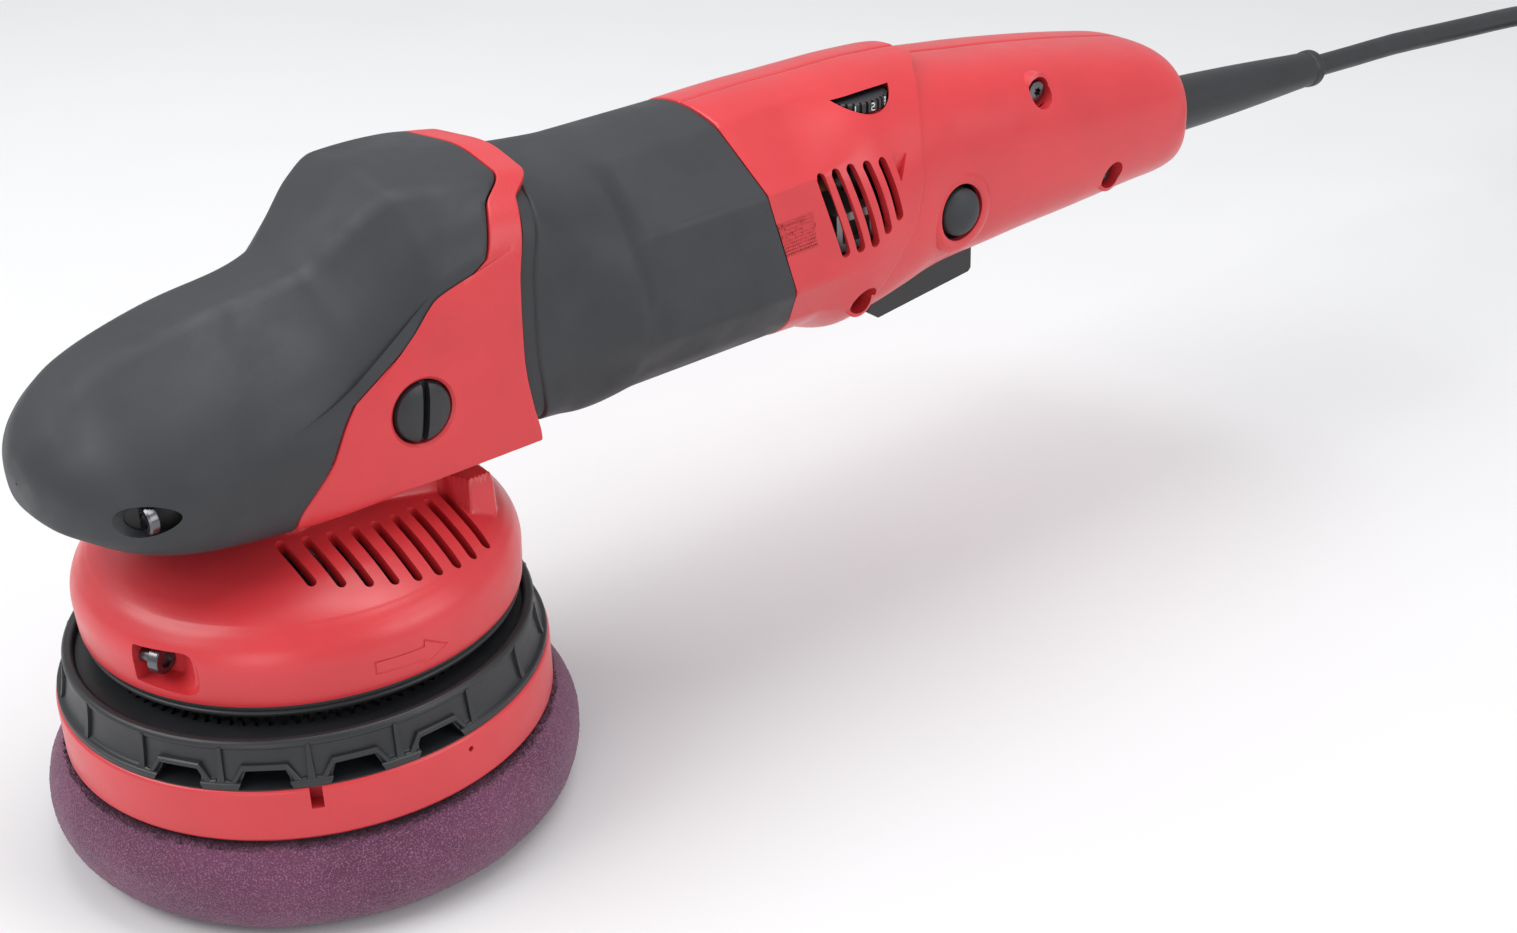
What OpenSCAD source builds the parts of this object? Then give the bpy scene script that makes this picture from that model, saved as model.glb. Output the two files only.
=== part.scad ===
// Dual action polisher: an eccentric, gear driven pad under a right angle head, with a motor barrel
// and a rear handle. +X runs to the rear, the spindle axis is Z, and the pad's face is at z = 0.

/* [Pad and backing plate] */
// Diameter of the backing plate
plate_d = 125; // [115:1:135]
// Height of the foam pad
foam_h = 25; // [20:0.5:30]
// How far the foam stands proud of the plate
foam_proud = 6; // [3:0.5:8]
// Top face of the backing plate
plate_top = 41; // [39:0.5:41]

/* [Orbit drive] */
// Distance from the spindle axis to the pad axis
orbit_offset = 4; // [3:1:4]
// Direction of the pad axis from the spindle axis
orbit_angle = 221; // [0:1:359]
// Tooth module of the fixed gear and the ring gear
ring_module = 1; // [0.8:0.1:1]
// Teeth of the ring gear
ring_teeth = 96; // [96:8:96]
// Top edge of the ring gear's wall
ring_top = 52.7; // [51:0.1:52.8]

/* [Hood] */
// Radius of the hood's lower edge
hood_r = 55.8; // [54:0.1:57]
// Height of the hood's lower edge
hood_bottom = 57.3; // [57:0.1:58]
// Wall thickness of the hood
hood_wall = 2.6; // [2:0.1:3]
// Number of air slots on each shoulder
hood_slots = 9; // [3:1:9]
// Spacing of the air slots
slot_pitch = 5.65; // [5:0.05:6]

/* [Gear head] */
// Height of the motor axis above the pad's face
motor_z = 118; // [117:0.5:119]
// Half width of the gear head
head_hw = 36; // [35:0.5:37]
// Thickness of the rubber grip over the gear head
grip_wall = 3; // [2:0.1:3.5]
// Radius of the round neck that carries the hood
neck_r = 19; // [18.5:0.1:19.5]

/* [Drive gears] */
// Tooth module of the crown gear and the pinion
crown_module = 1.5; // [1.5:0.1:1.5]
// Teeth of the crown gear
crown_teeth = 36; // [36:4:36]
// Teeth of the pinion
pinion_teeth = 12; // [12:4:12]

/* [Motor and handle] */
// Half width of the motor barrel
barrel_r = 37.6; // [37:0.1:38]
// Wall thickness of the housings
shell_wall = 2.8; // [2.4:0.1:3.2]
// Distance from the spindle axis to the rear end of the handle
handle_end = 323; // [323:1:326]

/* [Cord] */
// Diameter of the mains cord
cord_d = 7.6; // [7:0.1:8]
// Radius at the middle of the coil's turns
coil_r = 42.6; // [42:0.1:43]

/* [Hidden] */

$fn = 64;
red = "#d2413f";
rubber_black = "#33343a";
black = "#26272b";
steel = "#b8bcc0";
copper = "#b4683a";
brass_tone = "#c9a85c";
fit = 0.03;
far = 400;

// Orbit drive, derived
fixed_teeth = ring_teeth - round(2 * orbit_offset / ring_module);
orbit_x = orbit_offset * cos(orbit_angle);
orbit_y = orbit_offset * sin(orbit_angle);
plate_r = plate_d / 2;
foam_top_r = plate_r - 1.5;
hook_h = 1.4;
plate_bottom = foam_h + hook_h;
web_top = plate_top + 2.5;
gear_bottom = web_top + 0.8;
gear_top = ring_top - 2.2;
flange_bottom = ring_top + 0.9;

// Stack on the spindle axis
hub_bottom = 50;
hub_top = 76;
pad_bore_top = 68.4;
neck_bottom = 81.5;
neck_top = 91.05;
neck_flange_r = 26;
lower_bearing_bottom = 84;
lower_bearing_h = 9;
crown_pitch_z = motor_z - crown_module * pinion_teeth / 2;
crown_bottom = 99;
crown_r = 28;
crown_inner_r = 24.5;
upper_bearing_bottom = 130;
upper_bearing_h = 8;
shaft_r = 7.5;
upper_journal_r = 5;

// Motor stack along X
pinion_x0 = 23.5;
pinion_x1 = 32;
front_bearing_x = 50;
fan_x = 82;
core_x0 = 101;
core_x1 = 141;
core_r = 20.5;
stator_in_r = 21.1;
stator_r = 29;
commutator_x = 153;
rear_bearing_x = 182;
motor_shaft_r = 6;
bracket_r = 28;
bracket_floor_z = 95;

// Gear head sections: x, top z, top half width, shoulder z of the top, half width, z where the side
// turns upright, z of the lower side edge, half width of the underside, underside z
head_stations = [
    [-66, 117, 3, 116.5, 7, 113, 107, 4, 104.5],
    [-64.2, 121.5, 6, 121, 14, 113.5, 106, 11, 102],
    [-59, 128.5, 8, 127.5, 23.5, 115, 103.5, 18, 99.5],
    [-50, 135.2, 8, 134.2, 31.5, 117.5, 101, 26, 96.5],
    [-38, 139.4, 8.5, 138.4, 35.3, 119.5, 99, 30, 94],
    [-22, 142.2, 9.5, 141.6, 36, 122, 97, 32, 92.5],
    [-6, 143.8, 10, 143.4, 36, 124, 96, 34, 92],
    [4, 146, 12, 145.3, 36, 126, 95, 34.5, 92.5],
    [12, 153, 15, 151.5, 36, 131, 94.5, 35, 93.5],
    [20, 160.5, 18, 158.5, 36, 138, 94.5, 35.5, 93.5],
    [28, 164, 20, 162, 36, 146, 94.5, 35.5, 93.5],
    [48, 163, 22, 161, 36, 150, 94.5, 35.5, 93.5],
    [58, 161.5, 22, 159.5, 36, 150, 94.5, 35.5, 93.5],
    [70, 159.5, 21, 157.5, 35.5, 149, 94.5, 35, 93.5]];
// Side view edge between the rubber grip and the bare casting
grip_edge = [[-17.5, 80], [-16, 95], [-5.6, 107.5], [-1, 115.6], [5.5, 122.5], [15.5, 127], [27, 130],
    [36, 136], [42, 146], [47, 156], [58, 162.5], [58, 180]];
// Side view of the casting's rear face
casting_rear = [[53, 60], [53, 94], [51, 105], [49.7, 117], [50.3, 137], [53, 148], [56, 155.5],
    [67, 160.5], [67, 180]];

// Round sections: x, centre z, half width, height above, depth below, squareness
housing_stations = [
    [48, 125, 35.2, 33.5, 32, 5],
    [58, 124.5, 35, 33, 32.5, 4.5],
    [64, 123, 35, 33, 32.6, 3.8],
    [72, 120.5, 35.8, 34.3, 32.8, 3],
    [82, 118.4, 37.2, 36.6, 32.6, 2.3],
    [92, 117.7, barrel_r, barrel_r, 32.5, 2],
    [145, 117.7, barrel_r, barrel_r, 32.5, 2]];
handle_stations = [
    [122, 117.7, barrel_r, barrel_r, 32.5, 2],
    [150, 118, 37, 37.8, 33.5, 2.05],
    [166, 118, 35.8, 37.6, 38, 2.1],
    [180, 118, 34, 37.6, 38, 2.15],
    [197, 117.5, 31.8, 37.2, 32.5, 2.3],
    [205, 117, 30.3, 34.2, 28.5, 2.5],
    [230, 117, 29.5, 31, 27, 2.6],
    [260, 116, 28.5, 27.6, 25, 2.6],
    [290, 114.5, 27, 23.6, 22.5, 2.6],
    [310, 112.5, 25.3, 21, 20.5, 2.6],
    [318, 111.2, 23.4, 19.2, 18.8, 2.6],
    [321.5, 110.6, 20.8, 16.8, 16.8, 2.6],
    [handle_end, 110.2, 18, 14.4, 14.6, 2.6]];
section_n = 36;
barrel_cut_x = 127;
barrel_cut_top = 155.3;
rake = atan(0.2);

// Handle details
dial_x = 176;
dial_y = -11.8;
dial_z = 146.5;
dial_r = 11.5;
dial_h = 3.3;
button_x = 203;
button_z = 112;
button_r = 7.3;
button_travel = 3;
trigger_x0 = 187;
trigger_x1 = 226;
trigger_pivot = [190, 0, 92];
screw_places = [[241, 137], [272, 104], [167, 95]];

// Cord route, from the end of the strain relief to the coil
boot_x = 322;
boot_z = 106.3;
cord_r = cord_d / 2;
floor_z = cord_r;
route = [[403, 0, 102], [425, 0, 101], [450, 0, 100], [475, 0, 98], [500, 0, 96], [525, 0, 94],
    [545, 0, 91], [563, 0, 85], [578, 0, 76], [591, 0, 64], [602, 0, 50], [613, 0, 36],
    [624, 0, 23], [636, 0, 12], [650, 0, 5.6], [665, 0, floor_z]];
boot_run = route[0][0] - boot_x;
boot_drop = boot_z - route[0][2];
boot_l = norm([boot_run, boot_drop]);
coil_x = 665;
coil_y = -54;
coil_w = 4 * cord_d;
coil_h = 4 * cord_d;
tail = [[665, -108, 3 * cord_r], [655, -108, 3 * cord_r], [645, -108, 11.5], [635, -108, 11.7],
    [625, -108, 11.9], [615, -108, 12]];
plug_end = tail[5];
plug_half_w = 18;
plug_half_h = plug_end[2];

function sgn(v) = v < 0 ? -1 : 1;
function power(v, n) = sgn(v) * pow(abs(v), 2 / n);
function unit(v) = v / norm(v);

// Points of one round section, counter-clockwise seen from the rear
function round_ring(s, w = 0) = [for (k = [0:section_n - 1])
    let (a = 360 * k / section_n, c = cos(a), h = sin(a))
    [s[0], (s[2] - w) * power(c, s[5]), s[1] + ((h < 0 ? s[4] : s[3]) - w) * power(h, s[5])]];

// Corners of one gear head section, moved in by w
function head_corners(s, w) = let (
    right = [[s[7] - w, s[8] + w], [s[4] - w, s[6] + w / 2], [s[4] - w, s[5] - w / 2],
        [s[2] - w / 2, s[3] - w]])
    concat(right, [[0, s[1] - w]], [for (k = [3:-1:0]) [-right[k][0], right[k][1]]]);
corner_round = 7;
corner_steps = 3;
function head_ring(s, w = 0) = let (c = head_corners(s, w), n = len(c)) [for (k = [0:n - 1])
    let (p = c[k], a = c[(k + n - 1) % n], b = c[(k + 1) % n],
        ta = min(corner_round, 0.45 * norm(a - p)), tb = min(corner_round, 0.45 * norm(b - p)),
        pa = p + ta * unit(a - p), pb = p + tb * unit(b - p))
    for (i = [0:corner_steps]) let (u = i / corner_steps, q = (1 - u) * (1 - u) * pa
        + 2 * u * (1 - u) * p + u * u * pb) [s[0], q[0], q[1]]];

// Solid through a list of rings that all have the same number of points
module loft(rings) {
    n = len(rings[0]);
    m = len(rings);
    polyhedron(points = [for (r = rings) each r], faces = concat(
        [[for (k = [0:n - 1]) k]],
        [[for (k = [n - 1:-1:0]) (m - 1) * n + k]],
        [for (j = [0:m - 2], k = [0:n - 1]) let (a = j * n + k, b = j * n + (k + 1) % n)
            each [[b, a, a + n], [b, a + n, b + n]]]));
}

// Prism along Y from an outline in the XZ plane
module side_prism(outline, half_w = 60) {
    rotate([90, 0, 0]) linear_extrude(2 * half_w, center = true) polygon(outline);
}

// Cylinder along X that starts at x
module rod_x(x, r, l, y = 0, z = motor_z) {
    translate([x, y, z]) rotate([0, 90, 0]) cylinder(r = r, h = l);
}

// Cylinder along +Y that starts at y
module rod_y(x, y, z, r, l) {
    translate([x, y, z]) rotate([-90, 0, 0]) cylinder(r = r, h = l);
}

// Ball bearing with recessed shields, standing on z = 0
module bearing(outer_r, inner_r, h) {
    land = (outer_r - inner_r) * 0.22;
    rotate_extrude() polygon([[inner_r, 0], [inner_r + land, 0], [inner_r + land, 0.5],
        [outer_r - land, 0.5], [outer_r - land, 0], [outer_r, 0], [outer_r, h],
        [outer_r - land, h], [outer_r - land, h - 0.5], [inner_r + land, h - 0.5],
        [inner_r + land, h], [inner_r, h]]);
}

// Cap screw with its head's top at z = 0, pointing down
module cap_screw(r, l) {
    head_h = 1.6 * r;
    difference() {
        union() {
            translate([0, 0, -head_h]) cylinder(r = 1.75 * r, h = head_h);
            translate([0, 0, -l - head_h]) cylinder(r = r, h = l + 0.1);
        }
        translate([0, 0, -0.8 * r]) cylinder(r = 0.9 * r, h = 2 * r, $fn = 6);
    }
}

// Outline of a gear with straight flanked teeth, one of them centred on the +X axis
function gear_outline(teeth, m, add, ded, half_t) = let (r = teeth * m / 2, lean = tan(20))
    [for (k = [0:teeth - 1]) let (a = 360 * k / teeth)
        for (p = [[-ded, -half_t - ded * lean], [add, -half_t + add * lean],
            [add, half_t - add * lean], [-ded, half_t + ded * lean]])
            let (x = r + p[0], y = p[1]) [x * cos(a) - y * sin(a), x * sin(a) + y * cos(a)]];

module at_pad_axis() {
    translate([orbit_x, orbit_y, 0]) children();
}

module foam_pad() {
    widest = plate_r + foam_proud;
    bulge_r = 26;
    color("#6d3a5a") at_pad_axis() rotate_extrude() difference() {
        intersection() {
            square([widest, foam_h]);
            union() {
                translate([widest - bulge_r, foam_h * 0.58]) circle(r = bulge_r, $fn = 96);
                square([widest - bulge_r, foam_h]);
            }
        }
        translate([foam_top_r + 2.5, foam_h]) rotate(-32) square([20, 20]);
    }
}

module hook_layer() {
    color("#3a2a34") at_pad_axis() translate([0, 0, foam_h]) cylinder(r = foam_top_r, h = hook_h);
}

module backing_plate() {
    boss_r = 27;
    color(red) at_pad_axis() difference() {
        translate([0, 0, plate_bottom]) rotate_extrude() polygon([[0, 0], [plate_r - 0.8, 0],
            [plate_r, 0.8], [plate_r, plate_top - plate_bottom], [0, plate_top - plate_bottom]]);
        translate([0, 0, plate_bottom - 1]) cylinder(r = 9.5, h = 7);
        translate([0, 0, plate_bottom]) cylinder(r = 4.2, h = 40);
        translate([0, 0, plate_top - 4.1]) cylinder(r = 10 + fit, h = 10);
        translate([0, 0, plate_top - 5]) difference() {
            cylinder(r = plate_r - 7, h = 10);
            translate([0, 0, -1]) cylinder(r = boss_r, h = 12);
        }
        for (k = [0:3]) rotate(k * 90 + 45) translate([20, 0, plate_top - 9]) cylinder(r = 2, h = 10);
        rotate(-117.5) translate([plate_r - 4, -1.5, plate_top - 6]) cube([10, 3, 10]);
        rotate(-81) translate([plate_r - 1, 0, plate_top - 4]) rotate([0, 90, 0]) cylinder(r = 0.7, h = 5);
    }
}

module plate_screw() {
    color(steel) at_pad_axis() translate([0, 0, plate_bottom + 0.4]) {
        difference() {
            cylinder(r = 8.5, h = 5.6);
            translate([0, 0, -1]) cylinder(r = 4, h = 4, $fn = 6);
        }
        cylinder(r = 4, h = 32);
    }
}

module ring_gear() {
    wall = 2.6;
    flare = 1.6;
    rim_r = plate_r - 0.5;
    top_r = 58.7;
    tip_r = (ring_teeth * ring_module) / 2 + 1.1;
    color(black) at_pad_axis() difference() {
        union() {
            translate([0, 0, plate_top]) rotate_extrude() polygon([[17, 0], [rim_r, 0], [rim_r, 1.8],
                [top_r + flare, 2.5], [top_r, ring_top - plate_top - 0.8],
                [top_r - 0.8, ring_top - plate_top], [top_r - wall + 0.6, ring_top - plate_top],
                [top_r - wall, ring_top - plate_top - 0.8], [top_r - wall, 2.5], [17, 2.5]]);
            translate([0, 0, web_top - 0.5]) difference() {
                cylinder(r = tip_r + 3, h = gear_top - web_top + 0.5, $fn = 128);
                translate([0, 0, -1]) cylinder(r = tip_r - 3, h = 20, $fn = 128);
            }
            for (k = [0:17]) rotate(20 * k + 2) translate([top_r - 1, -0.7, plate_top + 1])
                cube([2.3, 1.4, ring_top - plate_top - 2]);
        }
        rotate(orbit_angle + 180) translate([0, 0, web_top]) linear_extrude(20)
            polygon(gear_outline(ring_teeth, ring_module, 1.1, 0.8, ring_module * PI / 4 + 0.09));
        for (k = [0:3]) rotate(45 + k * 90) translate([20, 0, 0]) cylinder(r = 2.2, h = 60);
        for (k = [0:3]) rotate(20 * k - 148) translate([rim_r - 8, 0, plate_top])
            rotate([90, 0, 90]) linear_extrude(20)
                polygon([[-6.5, 0.6], [6.5, 0.6], [4.5, 4.4], [-4.5, 4.4]]);
    }
}

module ring_screws() {
    color(steel) at_pad_axis() for (k = [0:3]) rotate(45 + k * 90)
        translate([20, 0, web_top + 3.2]) cap_screw(2, 7);
}

module pad_spindle() {
    color(steel) at_pad_axis() difference() {
        union() {
            translate([0, 0, web_top]) cylinder(r = 15.5, h = 4);
            translate([0, 0, plate_top - 4]) cylinder(r = 10, h = 10);
            translate([0, 0, web_top]) cylinder(r = 8, h = 7.6);
            translate([0, 0, web_top]) cylinder(r = 6, h = 68 - web_top);
        }
        translate([0, 0, 30]) cylinder(r = 4 + fit, h = 30);
    }
}

module pad_bearings() {
    color(steel) at_pad_axis() for (z = [51.2, 60]) translate([0, 0, z]) bearing(14, 6 + fit, 8);
}

module eccentric_hub() {
    color("#8f9498") difference() {
        union() {
            translate([0, 0, hub_bottom]) cylinder(r = 21.5, h = hub_top - hub_bottom - 3);
            translate([0, 0, hub_top - 4]) cylinder(r = 14, h = 4);
        }
        at_pad_axis() translate([0, 0, hub_bottom - 1]) cylinder(r = 14, h = pad_bore_top - hub_bottom + 1);
        cylinder(r = shaft_r, h = 200);
    }
}

module counterweight() {
    color("#7d8287") rotate(orbit_angle + 180) difference() {
        intersection() {
            translate([0, 0, 61.2]) cylinder(r = 44, h = 9);
            translate([0, -60, 50]) cube([60, 120, 30]);
        }
        translate([0, 0, 50]) cylinder(r = 21.5, h = 30);
        for (a = [-50, 0, 50]) rotate(a) translate([34, 0, 66]) cylinder(r = 5, h = 10);
    }
}

module spindle() {
    color(steel) {
        translate([0, 0, pad_bore_top + 0.4]) cylinder(r = shaft_r, h = 118 - pad_bore_top);
        translate([0, 0, 118]) cylinder(r = upper_journal_r, h = 21);
    }
}

module crown_gear() {
    half = crown_module * PI / 4 + 0.37;
    add = 0.9;
    ded = 1.9;
    lean = tan(20);
    color("#9da2a6") difference() {
        union() {
            translate([0, 0, crown_bottom]) cylinder(r = crown_r, h = crown_pitch_z + add - crown_bottom);
            translate([0, 0, crown_bottom - 3.6]) cylinder(r = 13, h = 4.6);
        }
        cylinder(r = shaft_r, h = 200);
        translate([0, 0, crown_pitch_z - ded - 0.4]) cylinder(r = crown_inner_r, h = 20);
        for (k = [0:crown_teeth - 1]) rotate(k * 360 / crown_teeth)
            translate([crown_inner_r - 1, 0, crown_pitch_z]) rotate([90, 0, 90]) linear_extrude(10)
                polygon([[-half + ded * lean, -ded], [half - ded * lean, -ded],
                    [half + 2 * lean, 2], [-half - 2 * lean, 2]]);
    }
}

module crown_nut() {
    color(steel) translate([0, 0, crown_pitch_z - 2.3]) difference() {
        cylinder(r = 11.5, h = 5, $fn = 6);
        translate([0, 0, -1]) cylinder(r = shaft_r, h = 10);
    }
}

module spindle_bearing_lower() {
    color(steel) translate([0, 0, lower_bearing_bottom]) bearing(16, shaft_r + fit, lower_bearing_h);
}

module spindle_bearing_upper() {
    color(steel) translate([0, 0, upper_bearing_bottom]) bearing(13, upper_journal_r + fit, upper_bearing_h);
}

module bearing_retainer() {
    color(steel) translate([0, 0, lower_bearing_bottom + lower_bearing_h]) difference() {
        cylinder(r = 22, h = 2);
        translate([0, 0, -1]) cylinder(r = 12, h = 5);
        for (k = [0:2]) rotate(k * 120 + 60) translate([18.6, 0, -1]) cylinder(r = 1.6, h = 5);
    }
}

module fixed_gear() {
    root_r = fixed_teeth * ring_module / 2 - 1.1;
    color("#c9ccce") difference() {
        union() {
            translate([0, 0, flange_bottom]) cylinder(r = 49.5, h = hood_bottom - flange_bottom);
            translate([0, 0, gear_bottom]) cylinder(r = root_r - 0.4, h = flange_bottom - gear_bottom + 0.5);
            rotate(orbit_angle + 180) translate([0, 0, gear_bottom]) linear_extrude(gear_top - gear_bottom)
                polygon(gear_outline(fixed_teeth, ring_module, 0.8, 1.1, ring_module * PI / 4 - 0.09));
        }
        translate([0, 0, 30]) cylinder(r = 36, h = 40);
        for (k = [0:5]) rotate(k * 60 + 30) translate([46.5, 0, 50]) {
            cylinder(r = 1.7, h = 10);
            cylinder(r = 2.5, h = flange_bottom + 1.2 - 50);
        }
    }
}

module fixed_gear_screws() {
    color(steel) for (k = [0:5]) rotate(k * 60 + 30) translate([46.5, 0, flange_bottom + 0.1]) {
        cylinder(r = 1.6, h = 6.8);
        translate([0, 0, -0.2]) cylinder(r1 = 2.2, r2 = 2.4, h = 1.2);
    }
}

module hood_seal() {
    color(black) translate([0, 0, flange_bottom]) rotate_extrude() polygon([[50, 0.2], [53.6, 0],
        [54.8, 0.8], [55, hood_bottom - flange_bottom], [50, hood_bottom - flange_bottom]]);
}

// Outer surface of the hood, moved in by w
module hood_form(w = 0) {
    rotate_extrude() polygon([[0, hood_bottom], [hood_r - w, hood_bottom],
        [hood_r + 0.5 - w, 67 - w], [hood_r - 0.5 - w, 71 - w], [52.5 - w, 75 - w], [47.5 - w, 78.5 - w],
        [40 - w, 81.8 - w], [30 - w / 2, 85 - w], [24.5, 87 - w], [23, 91 - w], [0, 91 - w]]);
}

module hood() {
    floor_h = 2.6;
    color(red) difference() {
        union() {
            difference() {
                union() {
                    hood_form();
                    translate([0, 0, 76]) linear_extrude(12.5) polygon([[-13, -22], [-10, -23.5],
                        [29, -22.5], [31.5, -28], [33, -31.5], [40, -31.5], [40, 31.5], [33, 31.5],
                        [31.5, 28], [29, 22.5], [-10, 23.5], [-13, 22]]);
                }
                difference() {
                    hood_form(hood_wall);
                    cylinder(r = 70, h = hood_bottom + floor_h);
                }
            }
            for (a = [0, 180]) rotate(a) clamp_wall();
        }
        cylinder(r = 43, h = 70);
        cylinder(r = neck_r + 0.15, h = 200);
        for (k = [0:5]) rotate(k * 60 + 30) translate([46.5, 0, 50]) cylinder(r = 1.6, h = 20);
        for (k = [0:hood_slots - 1], side = [-1, 1]) hood_slot(-15.8 + k * slot_pitch, side);
        for (a = [0, 180]) rotate(a) clamp_recess();
    }
}

// One air slot through the shoulder, straight down
module hood_slot(x, side) {
    y0 = 29.7 - 0.0115 * pow(x - 7, 2);
    y1 = 47.8 - 0.015 * pow(x - 10, 2);
    translate([x, side * (y0 + y1) / 2, 66]) linear_extrude(24) {
        square([2.4, y1 - y0], center = true);
        for (s = [-1, 1]) translate([0, s * (y1 - y0) / 2]) circle(r = 1.2, $fn = 24);
    }
}

// Thickening behind the clamp recess
module clamp_wall() {
    intersection() {
        hood_form(1);
        rotate(203) translate([46.4, -9, hood_bottom + 1]) cube([12, 27, 15.5]);
    }
}

// Recess beside the clamp screw's head, with the screw's own hole
module clamp_recess() {
    rotate(203) translate([49.5, 0, 65.5]) rotate([90, 0, 0]) translate([0, 0, -14])
        linear_extrude(18) polygon([[-1, -4.5], [10, -6], [10, 6], [-1, 4.5]]);
    rotate(203) translate([52.3, -7, 65.8]) rotate([-90, 0, 0]) cylinder(r = 1.95, h = 8);
}

module hood_clamp_screw() {
    color(steel) for (a = [0, 180]) rotate(203 + a) translate([52.3, -1.5, 65.8]) rotate([-90, 0, 0])
        difference() {
            union() {
                cylinder(r = 3.6, h = 3);
                translate([0, 0, -5]) cylinder(r = 1.9, h = 6);
            }
            translate([0, 0, 1.2]) cylinder(r = 1.7, h = 3, $fn = 6);
        }
}

module head_loft(w = 0) {
    loft([for (s = head_stations) let (x = s[0] + w * max(0, -s[0] - 58) / 10)
        head_ring([x, s[1], s[2], s[3], s[4], s[5], s[6], s[7], s[8]], w)]);
}

module grip_zone() {
    side_prism(concat([[-80, 80]], grip_edge, [[-80, 180]]));
}

module rear_zone() {
    side_prism(concat(casting_rear, [[90, 180], [90, 60]]));
}

module gear_head() {
    color(red) difference() {
        union() {
            difference() {
                head_loft();
                difference() {
                    grip_zone();
                    head_loft(grip_wall);
                }
            }
            translate([0, 0, neck_bottom]) cylinder(r = neck_r, h = 14);
            translate([0, 0, neck_top]) cylinder(r = neck_flange_r, h = 4);
        }
        rear_zone();
        translate([0, 0, lower_bearing_bottom + lower_bearing_h]) cylinder(r = 22 + fit, h = 8);
        translate([0, 0, 94.5]) cylinder(r = 29.4, h = 32);
        translate([0, 0, lower_bearing_bottom]) cylinder(r = 16, h = 12);
        translate([0, 0, 70]) cylinder(r = 14, h = 20);
        translate([0, 0, 120]) cylinder(r = 13, h = upper_bearing_bottom + upper_bearing_h - 120);
        translate([0, 0, 120]) cylinder(r = 8, h = 19.5);
        rod_x(10, 16, 60);
        rod_x(44, 20.5, 30);
        bracket_holes(45.4);
        for (s = [-1, 1]) {
            grip_hole(s);
            rod_y(20, s > 0 ? head_hw - 4.5 : -head_hw - 10, 113, 8.3, 14.5);
            rod_y(20, s > 0 ? head_hw - 9 : -head_hw - 10, 113, 5, 19);
        }
    }
}

module head_grip() {
    color(rubber_black) difference() {
        intersection() {
            head_loft();
            grip_zone();
        }
        head_loft(grip_wall - 0.02);
        for (s = [-1, 1]) grip_hole(s);
        translate([0, 0, 80]) cylinder(r = neck_flange_r + 0.1, h = 16.5);
    }
}

// Screw hole from the front, through the grip's flank beside the nose
module grip_hole(s) {
    rod_x(-62, 3.9, 14, s * 30.5, 108);
}

module grip_screws() {
    color(steel) for (s = [-1, 1]) rod_x(-50, 3.5, 2, s * 30.5, 108);
}

module handle_plugs() {
    color(black) for (s = [-1, 1]) scale([1, s, 1]) difference() {
        union() {
            rod_y(20, head_hw - 4.5, 113, 7.6, 3.9);
            rod_y(20, head_hw - 8.5, 113, 4.9, 5);
        }
        translate([20 - 0.9, head_hw - 2.9, 100]) cube([1.8, 10, 26]);
    }
}

module bearing_bracket() {
    color("#a9adb1") difference() {
        union() {
            rod_x(47, 20.4, 12);
            intersection() {
                rod_x(58, bracket_r, 4);
                translate([50, -40, bracket_floor_z]) cube([20, 80, 80]);
            }
        }
        rod_x(front_bearing_x, 16, 20);
        rod_x(40, 9, 30);
        bracket_holes(50);
    }
}

module bracket_holes(x) {
    for (k = [0:3]) rod_x(x, 1.8, 20, 24.5 * cos(45 + k * 90), motor_z + 24.5 * sin(45 + k * 90));
}

module bracket_screws() {
    color(steel) for (k = [0:3]) translate([0, 24.5 * cos(45 + k * 90), 24.5 * sin(45 + k * 90)])
        translate([64.8, 0, motor_z]) rotate([0, 90, 0]) cap_screw(1.75, 16);
}

module motor_bearing_front() {
    color(steel) translate([front_bearing_x, 0, motor_z]) rotate([0, 90, 0])
        bearing(16, motor_shaft_r + fit, 10);
}

module motor_bearing_rear() {
    color(steel) translate([rear_bearing_x, 0, motor_z]) rotate([0, 90, 0]) bearing(11, 4 + fit, 7);
}

module pinion() {
    color("#9da2a6") difference() {
        translate([pinion_x0, 0, motor_z]) rotate([0, 90, 0]) linear_extrude(pinion_x1 - pinion_x0)
            polygon(gear_outline(pinion_teeth, crown_module, 1.3, 1.6, crown_module * PI / 4 - 0.1));
        rod_x(pinion_x0 - 1, 4, 20);
    }
}

module motor_shaft() {
    color(steel) {
        rod_x(pinion_x0 - 0.5, 4, pinion_x1 - pinion_x0 + 1);
        rod_x(pinion_x1, motor_shaft_r, rear_bearing_x - pinion_x1 - 2);
        rod_x(rear_bearing_x - 2.1, 4, 12);
    }
}

module armature_core() {
    slots = 12;
    color("#8a5a3c") difference() {
        union() {
            rod_x(core_x0, core_r, core_x1 - core_x0);
            rod_x(core_x0 - 5, 16.5, core_x1 - core_x0 + 10);
        }
        rod_x(core_x0 - 10, motor_shaft_r, 80);
        for (k = [0:slots - 1]) translate([core_x0 - 0.1, 0, motor_z]) rotate([k * 360 / slots, 0, 0])
            translate([0, -1, core_r - 3]) cube([core_x1 - core_x0 + 0.2, 2, 4]);
    }
}

module commutator() {
    bars = 24;
    color(copper) difference() {
        union() {
            rod_x(commutator_x, 13, 19);
            rod_x(commutator_x - 3, 15, 4);
        }
        rod_x(commutator_x - 5, motor_shaft_r, 40);
        for (k = [0:bars - 1]) translate([commutator_x + 1.2, 0, motor_z]) rotate([k * 360 / bars, 0, 0])
            translate([0, -0.3, 12]) cube([30, 0.6, 3]);
    }
}

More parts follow.
